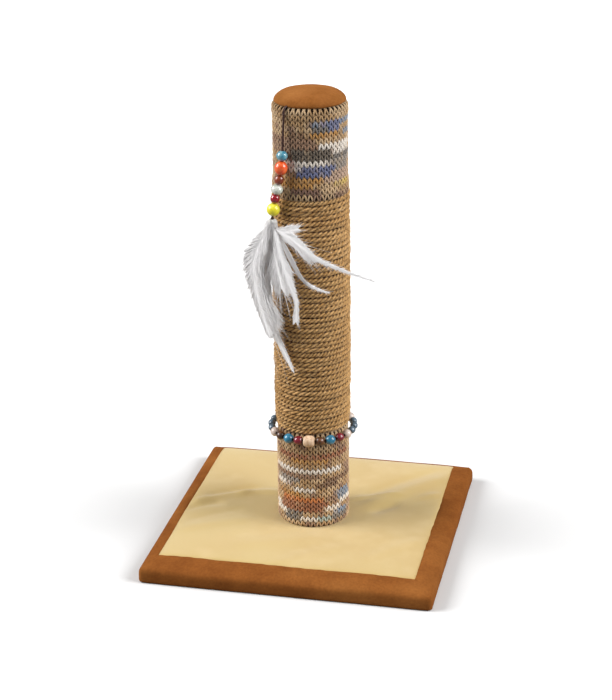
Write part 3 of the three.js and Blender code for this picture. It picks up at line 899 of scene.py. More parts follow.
@dataclass
class PaddedBase:
    """The square base: a suede border drawn over the edges and a cream panel sewn into it."""

    side: float = 300.0
    corner: float = 5.0
    # Heights of the top at its edge and in its middle, and how far in from the edge it rises.
    thick: float = 15.5
    crown: float = 20.7
    swell: float = 11.0
    # Width of the suede border on each side.
    left: float = 15.0
    right: float = 22.0
    front: float = 28.0
    back: float = 6.0
    # Radius of the dip round the post, depth of the seam, and how far the panel goes under it.
    foot: float = 38.0
    groove: float = 0.7
    tuck: float = 1.2
    # How far the panel bulges and how far it dips at the post.
    bulge: float = 0.55
    dip: float = 0.9
    relief: float = 1.5
    # Stations along a side and round a corner of the border, and steps across the panel.
    along_side: int = 96
    round_corner: int = 9
    weave: int = 128
    seed: int = 4
    # The border from its hem under the base to where its top begins: distance in from the edge
    # and its share of the wave, height and its share of the wave.
    edge_rows: tuple[tuple[float, float, float, float], ...] = (
        (9.5, 0.0, 0.75, 0.0),
        (9.0, 0.0, 0.05, 0.0),
        (6.0, 0.0, 0.0, 0.0),
        (2.4, 0.2, 0.0, 0.0),
        (1.3, 0.2, 0.3, 0.0),
        (0.5, 0.2, 0.9, 0.0),
        (0.15, 0.2, 1.9, 0.0),
        (0.0, 0.25, 4.0, 0.0),
        (0.0, 0.3, 7.5, 0.0),
        (0.15, 0.3, 10.5, 0.0),
        (0.55, 0.3, 12.6, 0.1),
        (1.4, 0.2, 14.4, 0.2),
        (2.9, 0.0, 15.8, 0.3),
    )
    # Where the rows on top lie, as shares of the way to the seam.
    top_rows: tuple[float, ...] = (0.12, 0.26, 0.42, 0.58, 0.74, 0.86, 0.94, 0.985)
    # The hidden inner face: distance in from the edge, and height.
    inner_rows: tuple[tuple[float, float], ...] = ((2.6, 14.0), (1.5, 8.0), (2.6, 1.3), (9.5, 1.25))
    # From x, y to x, y, then width and height.
    creases: tuple[tuple[float, float, float, float, float, float], ...] = (
        (-136, -4, -76, 29, 7, 1.5),
        (-88, 26, -44, 36, 6, 1.4),
        (-140, -22, -100, 2, 6, -1.0),
        (-120, 14, -70, 44, 7, -1.1),
        (-130, -67, -60, -30, 9, 0.8),
        (-126, -44, -76, -10, 7, -0.6),
        (48, 19, 130, 109, 10, 1.6),
        (60, 8, 112, 54, 7, -1.2),
        (48, 48, 118, 128, 8, -1.1),
        (84, 30, 127, 66, 6, 1.1),
        (36, 36, 88, 54, 5, 1.0),
        (-66, -90, 30, -58, 13, 0.7),
        (-20, -126, 46, -72, 9, 0.5),
        (-40, 60, -10, 132, 8, 0.6),
        (70, -100, 124, -40, 9, 0.6),
    )

    def height(self, x: Array, y: Array) -> Array:
        """Gives the padded top's height over the floor, without creases.

        Args:
            x: Places across.
            y: Places front to back.

        Returns:
            The heights.
        """
        half = self.side / 2
        room = np.stack([half - x, half + x, half - y, half + y])
        blend = 7.0
        soft = -np.log(np.exp(-room / blend).sum(0)) * blend
        rise = 1 - np.exp(-np.maximum(soft - 2.0, 0) / self.swell)
        return self.thick + (self.crown - self.thick) * rise

    def outline(self) -> tuple[Array, Array, Array]:
        """Walks round the base.

        Returns:
            The outer edge, the seam and the outward direction at each station.
        """
        half = self.side / 2
        rng = np.random.default_rng(self.seed)
        signs = [(-1, -1), (1, -1), (1, 1), (-1, 1)]
        inner = {-1: -half + self.left, 1: half - self.right}
        deep = {-1: -half + self.front, 1: half - self.back}
        outer, seam, out = [], [], []
        for i, (sx, sy) in enumerate(signs):
            nx, ny = signs[(i + 1) % 4]
            middle = np.array([sx, sy]) * (half - self.corner)
            start = math.atan2(sy, sx) - math.pi / 4
            for a in np.linspace(start, start + math.pi / 2, self.round_corner):
                way = np.array([math.cos(a), math.sin(a)])
                outer.append(middle + way * self.corner)
                seam.append(np.array([inner[sx], deep[sy]]))
                out.append(way)
            one = outer[-1]
            way = out[-1]
            two = np.array([nx, ny]) * (half - self.corner) + way * self.corner
            count = self.along_side
            share = np.linspace(0, 1, count + 2)[1:-1]
            first, last = np.array([inner[sx], deep[sy]]), np.array([inner[nx], deep[ny]])
            wander = smooth_noise(count, 9, rng) * np.minimum(1, 8 * np.minimum(share, 1 - share))
            for t, w in zip(share, wander):
                outer.append(one + (two - one) * t)
                seam.append(first + (last - first) * t + way * w * 0.8)
                out.append(way)
        return np.array(outer), np.array(seam), np.array(out)

    def border(self) -> None:
        """Builds the suede border as one turned-in skin."""
        outer, seam, out = self.outline()
        count = len(outer)
        rng = np.random.default_rng(self.seed + 1)
        wave = smooth_noise(count, 46, rng, True)
        pucker = smooth_noise(count, 150, rng, True)

        def row(flat: Array, height: Array | float) -> Array:
            """Lifts a row of points to a height."""
            return np.column_stack([flat, np.broadcast_to(height, count)])

        rows = [
            row(outer - out * (inward + sway * wave)[:, None], height + lift * wave)
            for inward, sway, height, lift in self.edge_rows
        ]
        edge = outer - out * self.edge_rows[-1][0]
        for share in self.top_rows:
            flat = edge + (seam - edge) * share
            puff = 0.7 * math.sin(math.pi * min(1.0, share * 1.06)) ** 0.8
            z = self.height(flat[:, 0], flat[:, 1]) + puff + 0.25 * wave * share
            z += 0.3 * pucker * share**3 - self.groove * max(0.0, (share - 0.86) / 0.14) ** 2
            rows.append(row(flat, z))
        middle = np.array([self.left - self.right, self.front - self.back]) / 2
        inside = seam - unit(seam - middle) * 1.6
        low = self.height(inside[:, 0], inside[:, 1]) - self.groove - 2.2
        rows += [row(inside, low), row(edge + (seam - edge) * 0.9, 14.2)]
        rows += [row(outer - out * inward, height) for inward, height in self.inner_rows]
        shell = Shell()
        shell.skin(np.vstack(rows), net(len(rows), count, True))
        settle(shell.build("suede_border"), "post", SUEDE, ("border_cover",))

    def panel(self) -> None:
        """Builds the cream panel as a padded sheet with its creases."""
        half = self.side / 2
        x0, x1 = -half + self.left - self.tuck, half - self.right + self.tuck
        y0, y1 = -half + self.front - self.tuck, half - self.back + self.tuck
        n = self.weave
        x, y = np.meshgrid(np.linspace(x0, x1, n), np.linspace(y0, y1, n), indexing="ij")
        edge = np.minimum(np.minimum(x - x0, x1 - x), np.minimum(y - y0, y1 - y))
        z = self.height(x, y)
        z += self.bulge * (1 - np.exp(-edge / 5.0)) - self.groove * np.exp(-edge / 1.6)
        z -= self.dip * np.exp(-np.maximum(np.hypot(x, y) - self.foot, 0) / 5.0)
        for ax, ay, bx, by, wide, high in self.creases:
            way = np.array([bx - ax, by - ay])
            length = np.linalg.norm(way)
            t = ((x - ax) * way[0] + (y - ay) * way[1]) / length**2
            off = ((x - ax) * way[1] - (y - ay) * way[0]) / length
            fade = np.clip(np.minimum(t + 0.12, 1.12 - t) / 0.3, 0, 1)
            fade = fade * fade * (3 - 2 * fade) * np.clip(edge / 8, 0, 1)
            bend = 2.0 * np.sin(t * 3.0)
            z += self.relief * high * fade * np.exp(-(((off + bend) / wide) ** 2))
        top = np.stack([x, y, z], -1).reshape(-1, 3)
        bottom = top.copy()
        bottom[:, 2] = 14.6
        faces: Faces = []
        size = n * n
        for i in range(n - 1):
            for a in range(i * n, i * n + n - 1):
                faces.append((a, a + n, a + n + 1, a + 1))
                faces.append((size + a, size + a + 1, size + a + n + 1, size + a + n))
        rim = [i * n for i in range(n)] + [(n - 1) * n + j for j in range(1, n)]
        rim += [i * n + n - 1 for i in range(n - 2, -1, -1)] + list(range(n - 2, 0, -1))
        faces += [(b, a, size + a, size + b) for a, b in zip(rim, rim[1:] + rim[:1])]
        shell = Shell()
        shell.skin(np.vstack([top, bottom]), faces)
        stands_for = ("top_panel", "base_padding")
        pad = settle(shell.build("cream_panel"), "post", CREAM, stands_for)

    def build(self) -> None:
        """Builds the base."""
        self.border()
        self.panel()


# ---- the knitted sleeves ---------------------------------------------------------------------


class Dye(Enum):
    """The colours the yarn was dyed."""

    TAN = tone("b28a59")
    SAND = tone("cfae84")
    MAUVE = tone("8e6751")
    BROWN = tone("6f4528")
    RUST = tone("96491a")
    MAROON = tone("5d302c")
    OCHRE = tone("bf8328")
    ORANGE = tone("d07012")
    YELLOW = tone("d8b747")
    WHITE = tone("f8f1e8")
    PINK_GREY = tone("bd9d8a")
    GREY = tone("918c89")
    SLATE = tone("5d6268")
    CHARCOAL = tone("2f3237")
    BLUE = tone("41619c")
    GREY_BLUE = tone("6d8cab")
    TEAL = tone("a9c0bb")


@dataclass(frozen=True)
class Dab:
    """A stretch of one dye: the first and last row it lies in, counted from the bottom, and the
    azimuths it starts and ends at.
    """

    dye: Dye
    first: int
    last: int
    start: float
    end: float


@dataclass
class KnittedSleeve:
    """A sleeve of stocking stitch, knitted round from a yarn dyed in lengths.

    The waist gives heights and the sleeve's outer radius there; the yarn is its half width, and
    open rows are knitted with thinner yarn.
    """

    name: str
    node: str
    low: float
    high: float
    stitches: int
    rows: int
    ground: tuple[Dye, ...]
    dabs: tuple[Dab, ...]
    waist: tuple[tuple[float, float], ...]
    open_rows: tuple[int, ...]
    yarn: float = 1.16
    # Where each row starts and ends, and where the made-up colours of the back lie.
    seam: float = -100.0
    back: tuple[float, float, float] = (100.0, 250.0, 266.0)
    seed: int = 7

    # One stitch, as shares of its width and of the row's height, and its depth in millimetres.
    LOOP = (
        (-0.50, -0.80, -1.1),
        (-0.16, -0.68, -0.3),
        (-0.12, -0.42, 0.55),
        (-0.26, 0.05, 0.8),
        (-0.41, 0.46, 0.5),
        (-0.34, 0.74, -0.6),
        (0.00, 0.88, -1.15),
        (0.34, 0.74, -0.6),
        (0.41, 0.46, 0.5),
        (0.26, 0.05, 0.8),
        (0.12, -0.42, 0.55),
        (0.16, -0.68, -0.3),
    )

    def all_dabs(self) -> list[Dab]:
        """Gives the front's dabs and makes up the ones round the back.

        Returns:
            All the dabs.
        """
        rng = np.random.default_rng(self.seed)
        made = list(self.dabs)
        colours = [Dye.BLUE, Dye.OCHRE, Dye.WHITE, Dye.CHARCOAL]
        colours += [Dye.RUST, Dye.GREY_BLUE, Dye.MAUVE, Dye.MAROON]
        start, last_start, end = self.back
        for row in range(self.rows):
            at = start + rng.uniform(0, 40)
            while at < last_start:
                span = rng.uniform(30, 75)
                dye = colours[int(rng.integers(len(colours)))]
                if rng.random() < 0.55:
                    made.append(Dab(dye, row, row, at, min(at + span, end)))
                at += span + rng.uniform(5, 40)
        return made

    def colours(
        self, dabs: list[Dab], row: int, azimuth: Array, rng: np.random.Generator
    ) -> Array:
        """Finds the dye of each point of the yarn.

        Args:
            dabs: The stretches of dye.
            row: The row the yarn is knitted into.
            azimuth: Where the points are round the post, from the seam on.
            rng: The seeded random source.

        Returns:
            A colour a point.
        """
        count = len(azimuth)
        pick = smooth_noise(count, 30, rng) * 0.5 + 0.5
        pick = np.minimum((pick * len(self.ground)).astype(int), len(self.ground) - 1)
        found = np.array([d.value for d in self.ground])[pick]
        jitter = smooth_noise(count, 60, rng) * 8
        at = azimuth + jitter
        for dab in dabs:
            if dab.first <= row <= dab.last:
                found[(at > dab.start) & (at < dab.end)] = dab.dye.value
        soft = np.copy(found)
        for _ in range(5):
            soft = (np.roll(soft, 1, 0) + 2 * soft + np.roll(soft, -1, 0)) / 4
        fleck = np.clip(smooth_noise(count, count // 5, rng) - 0.35, 0, 1)[:, None] * 0.6
        soft = soft + (np.array(tone("d8b88f")) - soft) * fleck
        return soft * (1 + 0.14 * smooth_noise(count, 240, rng)[:, None])

    def build(self) -> None:
        """Knits the sleeve row by row."""
        rng = np.random.default_rng(self.seed + 1)
        dabs = self.all_dabs()
        loop = np.array(self.LOOP)
        steps = len(loop)
        sides = 6
        pitch = (self.high - self.low) / self.rows
        turn = np.repeat(np.arange(self.stitches), steps)
        loops = np.tile(loop, (self.stitches, 1))
        heights, radii = zip(*self.waist)
        facing = np.cos(np.linspace(0, 2 * math.pi, sides, endpoint=False))[None, :, None]
        # The pale colour of the painted highlight.
        pale = np.array(tone("e6c9a2"))
        shell = Shell()
        for row in range(self.rows):
            z = self.low + (row + 0.5) * pitch
            wobble = smooth_noise(len(turn), 40, rng, True)
            across = turn + 0.5 + loops[:, 0] + 0.03 * wobble
            azimuth = self.seam + 360 * across / self.stitches
            height = z + loops[:, 1] * pitch * 0.92 + 0.3 * wobble
            outside = np.interp(height, heights, radii)
            radius = outside - self.yarn + loops[:, 2] - 0.8
            path = about_post(azimuth, radius, height)
            normal = about_post(azimuth, 1.0, 0.0)
            slack = 0.8 if row in self.open_rows else 1.0
            thick = slack * self.yarn * (1 + 0.07 * smooth_noise(len(turn), 200, rng, True))
            dyes = np.repeat(self.colours(dabs, row, azimuth, rng)[:, None], sides, 1)
            # Painted shade and painted highlight: the yarn is darkened on its side towards the post
            # and where the loop lies deep, and mixed towards pale on its outward side where the
            # loop stands out.
            depth = np.clip((loops[:, 2] + 1.2) / 2.0, 0, 1)[:, None, None]
            shade = 0.26 + 0.82 * np.clip(0.45 + 0.65 * facing, 0, 1) * (0.3 + 0.7 * depth)
            painted_glint = 0.2 * np.clip(facing, 0, 1) ** 2 * depth
            tint = dyes * shade
            tint = tint + (pale - tint) * painted_glint
            shell.sweep(path, normal, ring_section(thick, sides, 0.85), tint, closed=True)
        settle(shell.build(self.name), "post", KNIT_YARN, (self.node,))


# ---- the rope --------------------------------------------------------------------------------


@dataclass
class RopeWinding:
    """One rope of three strands, wound close from the bottom of the post to the top.

    Lay is the rope's length in which its strands go round once. Belly gives heights, and how far
    the turns there stand out or back.
    """

    low: float = 123.8
    high: float = 378.8
    turns: float = 47.0
    rope: float = 5.7
    outside: float = 39.5
    lay: float = 15.0
    steps_per_lay: int = 9
    belly: tuple[tuple[float, float], ...] = (
        (125, -2.8), (131, -1.4), (137, -0.5), (160, -0.2),
        (210, 0.1), (260, 0), (330, -0.2), (378, -0.3),
    )
    fuzz: int = 6500
    seed: int = 21

    def build(self) -> None:
        """Winds the rope and adds its loose fibres."""
        rng = np.random.default_rng(self.seed)
        pitch = (self.high - self.low - self.rope) / self.turns
        length = self.turns * 2 * math.pi * (self.outside - self.rope / 2)
        count = int(length / self.lay * self.steps_per_lay)
        share = np.linspace(0, 1, count)
        azimuth = 180 + 360 * self.turns * share
        height = self.low + self.rope / 2 + pitch * self.turns * share
        height = height + 0.45 * smooth_noise(count, 420, rng)
        slow = smooth_noise(count, 130, rng)
        belly = np.interp(height, *zip(*self.belly))
        radius = self.outside - self.rope / 2 + belly + 0.35 * slow
        radius = radius + 0.3 * smooth_noise(count, 900, rng)
        path = about_post(azimuth, radius, height)
        normal = about_post(azimuth, 1.0, 0.0)
        drift = 0.9 * smooth_noise(count, 90, rng) + 0.25 * smooth_noise(count, 420, rng)
        twist = -2 * math.pi * (np.arange(count) / self.steps_per_lay + drift)
        lobe = np.arange(0, 360, 30)
        bend = np.radians((lobe + 60) % 120 - 60)
        offset, strand = 0.27 * self.rope, 0.245 * self.rope
        rise = np.maximum(strand**2 - (offset * np.sin(bend)) ** 2, 0.02)
        reach = offset * np.cos(bend) + np.sqrt(rise)
        thick = 1 + 0.09 * smooth_noise(count, 1100, rng)
        angle = np.radians(lobe)[None] + twist[:, None]
        section = np.stack([np.cos(angle), np.sin(angle)], -1)
        section = section * (reach[None] * thick[:, None])[..., None]
        # The dark colour serves as painted shade; mid and light are the rope's own tones.
        dark, mid, light = (np.array(tone(c)) for c in ("381d09", "d29e5c", "f2c384"))
        which = np.array([0, 0, 1, 1, 1, 1, 2, 2, 2, 2, 0, 0])
        wear = np.stack([smooth_noise(count, 500, rng) for _ in range(3)], 1)[:, which] * 0.5 + 0.5
        body = mid + (light - mid) * wear[..., None]
        body = body * (1 + 0.12 * slow[:, None, None])
        # Painted shade: the rope is darkened in the valleys between its strands, on its sides and
        # on its side towards the post.
        valley_shade = np.clip((reach.max() - reach) / np.ptp(reach), 0, 1)[None, :, None] ** 1.5
        inner = np.clip(0.66 - np.cos(angle), 0, 1)[..., None] ** 0.7
        tint = body + (dark - body) * np.clip(0.75 * valley_shade + inner, 0, 0.96)
        shell = Shell()
        shell.sweep(path, normal, section, tint)
        settle(shell.build("wound_rope"), "post", JUTE, ("rope_winding",))
        self.loose_fibres(path, rng)

    def loose_fibres(self, path: Array, rng: np.random.Generator) -> None:
        """Adds the loose fibres that lie on the rope and stand off it.

        Args:
            path: The rope's middle line.
            rng: The seeded random source.
        """
        shell = Shell()
        up = np.array([0, 0, 1.0])
        pale, dark = (np.array(tone(code)) for code in ("e3bf90", "5a3819"))
        for _ in range(self.fuzz):
            i = int(rng.integers(4, len(path) - 4))
            out = unit(np.array([path[i, 0], path[i, 1], 0.0]))
            along = unit(path[i + 1] - path[i - 1])
            lean = along * rng.choice((-1, 1)) + up * rng.normal(0.35, 0.5)
            size = rng.uniform(2.0, 6.5)
            start = path[i] + out * (self.rope * rng.uniform(0.4, 0.5))
            start = start + up * rng.uniform(-2.2, 2.2)
            t = np.linspace(0, 1, 4)[:, None]
            line = start + (out * (0.16 * t - 0.2 * t**2) + lean * 0.7 * t + up * 0.1 * t**2) * size
            radius = np.linspace(0.2, 0.06, 4) * rng.uniform(0.5, 1.0)
            colour = (pale if rng.random() < 0.62 else dark) * rng.uniform(0.75, 1.05)
            shell.sweep(line, np.repeat(out[None], 4, 0), ring_section(radius, 3), colour)
        settle(shell.build("rope_fibres"), "post", JUTE, ())


# ---- the cap ---------------------------------------------------------------------------------


@dataclass
class PaddedCap:
    """The little suede pillow that closes the top of the post."""

    profile: tuple[tuple[float, float], ...] = (
        (31.5, 467.7),
        (33.8, 467.7),
        (35.0, 468.1),
        (35.3, 469.1),
        (34.9, 470.4),
        (33.9, 472.0),
        (32.2, 473.7),
        (30.0, 475.3),
        (27.2, 476.7),
        (23.5, 477.7),
        (18.0, 478.2),
        (10.0, 478.4),
        (4.0, 478.4),
        (0.6, 478.4),
    )
    segments: int = 120
    # Depths of the hem's pleats and of the slow unevenness, the number of the profile's points
    # that the pleats fade over, and how far the top lies askew.
    pleat: float = 0.45
    uneven: float = 0.35
    pleated: int = 6
    askew: float = 0.25
    seed: int = 9

    def build(self) -> None:
        """Builds the cap with its drawn-in hem."""
        points, faces = turned(list(self.profile), self.segments)
        size = len(self.profile)
        rng = np.random.default_rng(self.seed)
        pleat = smooth_noise(self.segments, 44, rng, True)
        soft = smooth_noise(self.segments, 9, rng, True)
        grid = points.reshape(size, self.segments, 3)
        for i, (radius, _) in enumerate(self.profile):
            rim = max(0.0, 1 - i / self.pleated)
            grow = self.pleat * pleat * rim + self.uneven * soft * min(1.0, radius / 30)
            grid[i, :, :2] *= 1 + (grow / max(radius, 1))[:, None]
            grid[i, :, 2] += self.askew * soft * radius / 33
        shell = Shell()
        shell.skin(grid.reshape(-1, 3), faces + lids(size, self.segments))
        stands_for = ("cap_cover", "cap_padding")
        cap = settle(shell.build("suede_cap"), "post", CAP_SUEDE, stands_for)


# ---- beads -----------------------------------------------------------------------------------


def bead(
    radius: float, high: float, hole: float, segments: int, arcs: int, blunt: float = 1.0
) -> Shell:
    """Builds a round bead about Z with its hole.

    Args:
        radius: Its widest radius.
        high: Its height along the hole.
        hole: The hole's radius.
        segments: Steps round it.
        arcs: Steps from end to end.
        blunt: 1 for a round bead, less for one like a barrel.

    Returns:
        The bead's shell, centred on its middle.
    """
    rim = math.sqrt(max(0.0, 1 - (hole * 1.3 / radius) ** 2))
    limit = math.asin(rim)
    profile = [(hole, -high / 2)]
    for i in range(arcs + 1):
        a = -limit + 2 * limit * i / arcs
        profile.append((radius * math.cos(a) ** blunt, high / 2 * math.sin(a) / rim))
    profile += [(hole, high / 2), (hole * 0.92, high * 0.4), (hole * 0.92, -high * 0.4)]
    shell = Shell()
    shell.skin(*turned(profile, segments, True))
    return shell


def turn_to(points: Array, at: Array, way: Array) -> Array:
    """Turns points built about Z so that Z lies along a direction, and moves them.

    Args:
        points: The points.
        at: Where their origin goes.
        way: The direction.

    Returns:
        The moved points.
    """
    turn = Vector((0, 0, 1)).rotation_difference(Vector(way)).to_matrix()
    return points @ np.array(turn).T + at


@dataclass(frozen=True)
class BeadKind:
    """One kind of bead: its size and finish."""

    radius: float
    high: float
    finish: Finish
    segments: int = 32
    arcs: int = 16
    blunt: float = 1.0


@dataclass
class BeadRing:
    """Beads threaded on an elastic round the post, just under the rope."""

    radius: float = 42.8
    height: float = 122.0
    count: int = 24
    start: float = 6.6
    hole: float = 1.5
    order: tuple[str, ...] = (
        "cream", "brown", "turquoise", "red", "white", "grey",
        "grey", "grey", "white", "brown", "turquoise", "red",
    )

    def kinds(self) -> dict[str, BeadKind]:
        """Gives the kinds of beads by their colour.

        Returns:
            A kind for each colour.
        """
        bare = Lacquer("bare_wood", tone("e3c7a9"), tone("bd9876"), 0.6, 0.6, 0.1, grain=True)
        dark = Lacquer("brown_wood", tone("7a4822"), tone("3f2411"), 0.9, 0.4, 0.4, grain=True)
        made = {
            "cream": BeadKind(6.1, 11.4, bare, 28, 14, 0.5),
            "brown": BeadKind(4.4, 8.6, dark),
        }
        for colour, radius, high, main, second, share, roughness in (
            ("turquoise", 5.1, 9.8, "3d8fae", "1c5f7d", 0.8, 0.35),
            ("red", 4.6, 9.0, "9c2033", "5f0f1e", 0.8, 0.28),
            ("white", 4.8, 9.4, "ddd0c4", "c0a99c", 0.7, 0.45),
            ("grey", 3.9, 8.2, "64798c", "465763", 0.7, 0.35),
        ):
            paint = Lacquer(f"{colour}_paint", tone(main), tone(second), share, roughness)
            made[colour] = BeadKind(radius, high, paint)
        return made

    def build(self) -> None:
        """Threads the beads."""
        kinds = self.kinds()
        for i in range(self.count):
            colour = self.order[i % len(self.order)]
            kind = kinds[colour]
            node = f"ring_bead_{i + 1:02d}_{colour}"
            azimuth = self.start + 360 / self.count * i
            sizes = (kind.segments, kind.arcs, kind.blunt)
            shell = bead(kind.radius, kind.high, self.hole, *sizes)
            way = about_post(azimuth + 90, 1.0, 0.0)
            at = about_post(azimuth, self.radius, self.height)
            shell.points[0] = turn_to(shell.points[0], at, way)
            piece = shell.build(f"round_{node}")
            settle(piece, "bead_ring", kind.finish, (node,))


# ---- the toy ---------------------------------------------------------------------------------


@dataclass
class ToyFrame:
    """Directions of the hanging toy: out from the post, along the rim, and up."""

    azimuth: float = -30.0

    def point(self, places: Array | tuple[float, ...]) -> Array:
        """Turns out, side and height into a point.

        Args:
            places: One place or rows of them.

        Returns:
            The points.
        """
        p = np.asarray(places, float)
        a = math.radians(self.azimuth)
        out = np.array([math.sin(a), -math.cos(a), 0.0])
        side = np.array([math.cos(a), math.sin(a), 0.0])
        return p[..., :1] * out + p[..., 1:2] * side + p[..., 2:] * np.array([0, 0, 1.0])

    def out(self) -> Array:
        """Gives the outward direction."""
        return self.point((1.0, 0.0, 0.0))

    def side(self) -> Array:
        """Gives the direction along the rim."""
        return self.point((0.0, 1.0, 0.0))


@dataclass
class HangingToy:
    """The dark cord over the rim with its six beads and the knot under them."""

    frame: ToyFrame = field(default_factory=ToyFrame)
    thick: float = 2.2
    pivot: Place = (39.6, 1.9, 461.3)
    # The cord over the rim up to the pivot, and below it.
    tail: tuple[Place, ...] = (
        (22.6, 1.1, 467.4), (26, 1.3, 467.4), (30, 1.5, 467.5), (34, 1.7, 468.5),
        (37, 1.8, 468.1), (39, 1.9, 466.0), (39.5, 1.9, 464.4), (39.6, 1.9, 462.4),
    )
    hang: tuple[Place, ...] = (
        (39.62, 1.9, 459.3), (40.3, 2.1, 452), (41.4, 2.3, 440), (42.4, 2.4, 430),
        (43.1, 2.4, 422), (44.2, 1.7, 409), (45.2, 0.1, 398), (46.2, -2.2, 387.6),
        (47, -4.4, 377.2), (47.8, -6.1, 366.2), (48.2, -6.8, 359.2),
    )
    # Room between two beads and under the last, the knot's radius, and its turns of cord.
    gap: float = 0.5
    end: float = 0.6
    knot: float = 1.7
    knot_turns: int = 2
    knuckle: float = 1.45

    def kinds(self) -> list[tuple[str, BeadKind]]:
        """Gives the toy's beads from the top down.

        Returns:
            Colours and kinds.
        """
        # Colour, radius and height; the finish's name, colours, share of the second colour,
        # roughness, coat and clearness.
        return [
            (colour, BeadKind(radius, high, Lacquer(name, tone(main), tone(second), *rest)))
            for colour, radius, high, name, main, second, *rest in (
                ("blue", 5.6, 10.0, "blue_glass", "2b93b4", "a9cfd0", 0.45, 0.08, 1.0, 0.25),
                ("orange", 6.5, 13.6, "orange_bead", "ea4f17", "f2793f", 0.4, 0.28, 0.7),
                ("brown", 4.7, 9.4, "brown_bead", "8d3d1f", "5f2413", 0.5, 0.3, 0.7),
                ("white", 6.1, 9.8, "milky_glass", "eef0e8", "d3dccb", 0.5, 0.12, 1.0, 0.2),
                ("red", 4.7, 9.2, "red_glass", "b3142a", "7c0c1d", 0.5, 0.1, 1.0),
                ("yellow", 6.6, 12.6, "yellow_bead", "efdf22", "e6e552", 0.5, 0.35, 0.4),
            )
        ]

    def line(self) -> Array:
        """Gives the hanging cord's middle line."""
        return self.frame.point(curve_through(np.array(self.hang), 61))

    def cord_piece(self, name: str, line: Array) -> Piece:
        """Builds a length of cord with its light twist.

        Args:
            name: The piece's name.
            line: Its middle line.

        Returns:
            The piece.
        """
        count = len(line)
        shell = Shell()
        radius = self.thick / 2 * (1 + 0.03 * np.sin(np.arange(count) * 1.7))
        normal = np.repeat(self.frame.out()[None], count, 0)
        flat = np.abs(unit(np.gradient(line, axis=0)) @ self.frame.out()) > 0.8
        normal[flat] = (0, 0, 1)
        shell.sweep(line, normal, ring_section(radius, 12))
        return shell.build(name)

    def build(self) -> tuple[Array, Array]:
        """Builds the cord, the beads and the knot.

        Returns:
            Where the feathers hang from, and the direction there.
        """
        tail = self.cord_piece(
            "cord_over_rim", self.frame.point(curve_through(np.array([*self.tail, self.pivot]), 40))
        )
        settle(tail, "post", DARK_CORD, ("toy_cord_tail",))
        ball = bead(self.knuckle, 2 * self.knuckle, 0.2, 16, 8)
        ball.points[0] = ball.points[0] + self.frame.point(self.pivot)
        settle(ball.build("cord_knuckle"), "toy_bend", DARK_CORD, ("toy_cord_bend",))

        line = self.line()
        whole = np.vstack([self.frame.point(self.pivot)[None], line])
        hang = self.cord_piece("hanging_cord", whole)
        settle(hang, "toy_cord", DARK_CORD, ("toy_cord",))

        gone = travelled(line)
        kinds = self.kinds()
        at = gone[-1] - self.end - sum(kind.high + self.gap for _, kind in kinds)
        for colour, kind in kinds:
            middle = at + kind.high / 2
            centre, before = spot_on(line, gone, middle), spot_on(line, gone, middle - 2)
            hole = self.thick / 2 + 0.3
            shell = bead(kind.radius, kind.high, hole, kind.segments, kind.arcs)
            shell.points[0] = turn_to(shell.points[0], centre, unit(before - centre))
            node = f"toy_bead_{colour}"
            piece = shell.build(f"toy_{colour}_bead")
            settle(piece, f"bead_{colour}", kind.finish, (node,))
            at += kind.high + self.gap

        down = unit(line[-1] - line[-2])
        knot_at = line[-1] + down * (0.3 + self.knot)
        knot = self.end_knot(knot_at, down)
        return knot_at, down

    def end_knot(self, at: Array, down: Array) -> Piece:
        """Ties the knot that keeps the beads on the cord.

        Args:
            at: Its middle.
            down: The cord's direction there.

        Returns:
            The piece.
        """
        shell = bead(self.knot, 2 * self.knot, 0.2, 20, 12)
        shell.points[0] = turn_to(shell.points[0], at, -down)
        side = unit(np.cross(down, self.frame.out()))
        steps = 60
        middle = at + down * np.linspace(-0.8, 0.8, steps)[:, None]
        wrap = wound(middle, side, np.cross(side, down), 1.25, self.knot_turns)
        thick = ring_section(np.full(steps, self.thick / 4), 8)
        shell.sweep(wrap, np.repeat(down[None], steps, 0), thick)
        knot = shell.build("end_knot")
        return settle(knot, "toy_knot", DARK_CORD, ("cord_end_knot",))


class Vane(Enum):
    """How a feather's barbs lie: spacing, half width, lean, looseness and curl."""

    PLUME = (0.34, 0.85, 42.0, 0.05, 0.5)
    BLADE = (0.4, 0.6, 30.0, 0.02, 0.25)
    DOWN = (0.32, 0.6, 46.0, 0.07, 0.6)


@dataclass(frozen=True)
class Feather:
    """One feather: where its quill stands in the binding, its shaft and its vane.

    Each width gives a share of the vane's length, and how far it reaches to the left and to the
    right there. Fringe is the share of fine loose hairs.
    """

    name: str
    place: float
    route: tuple[Place, ...]
    widths: tuple[Place, ...]
    vane: Vane
    fringe: float
    seed: int


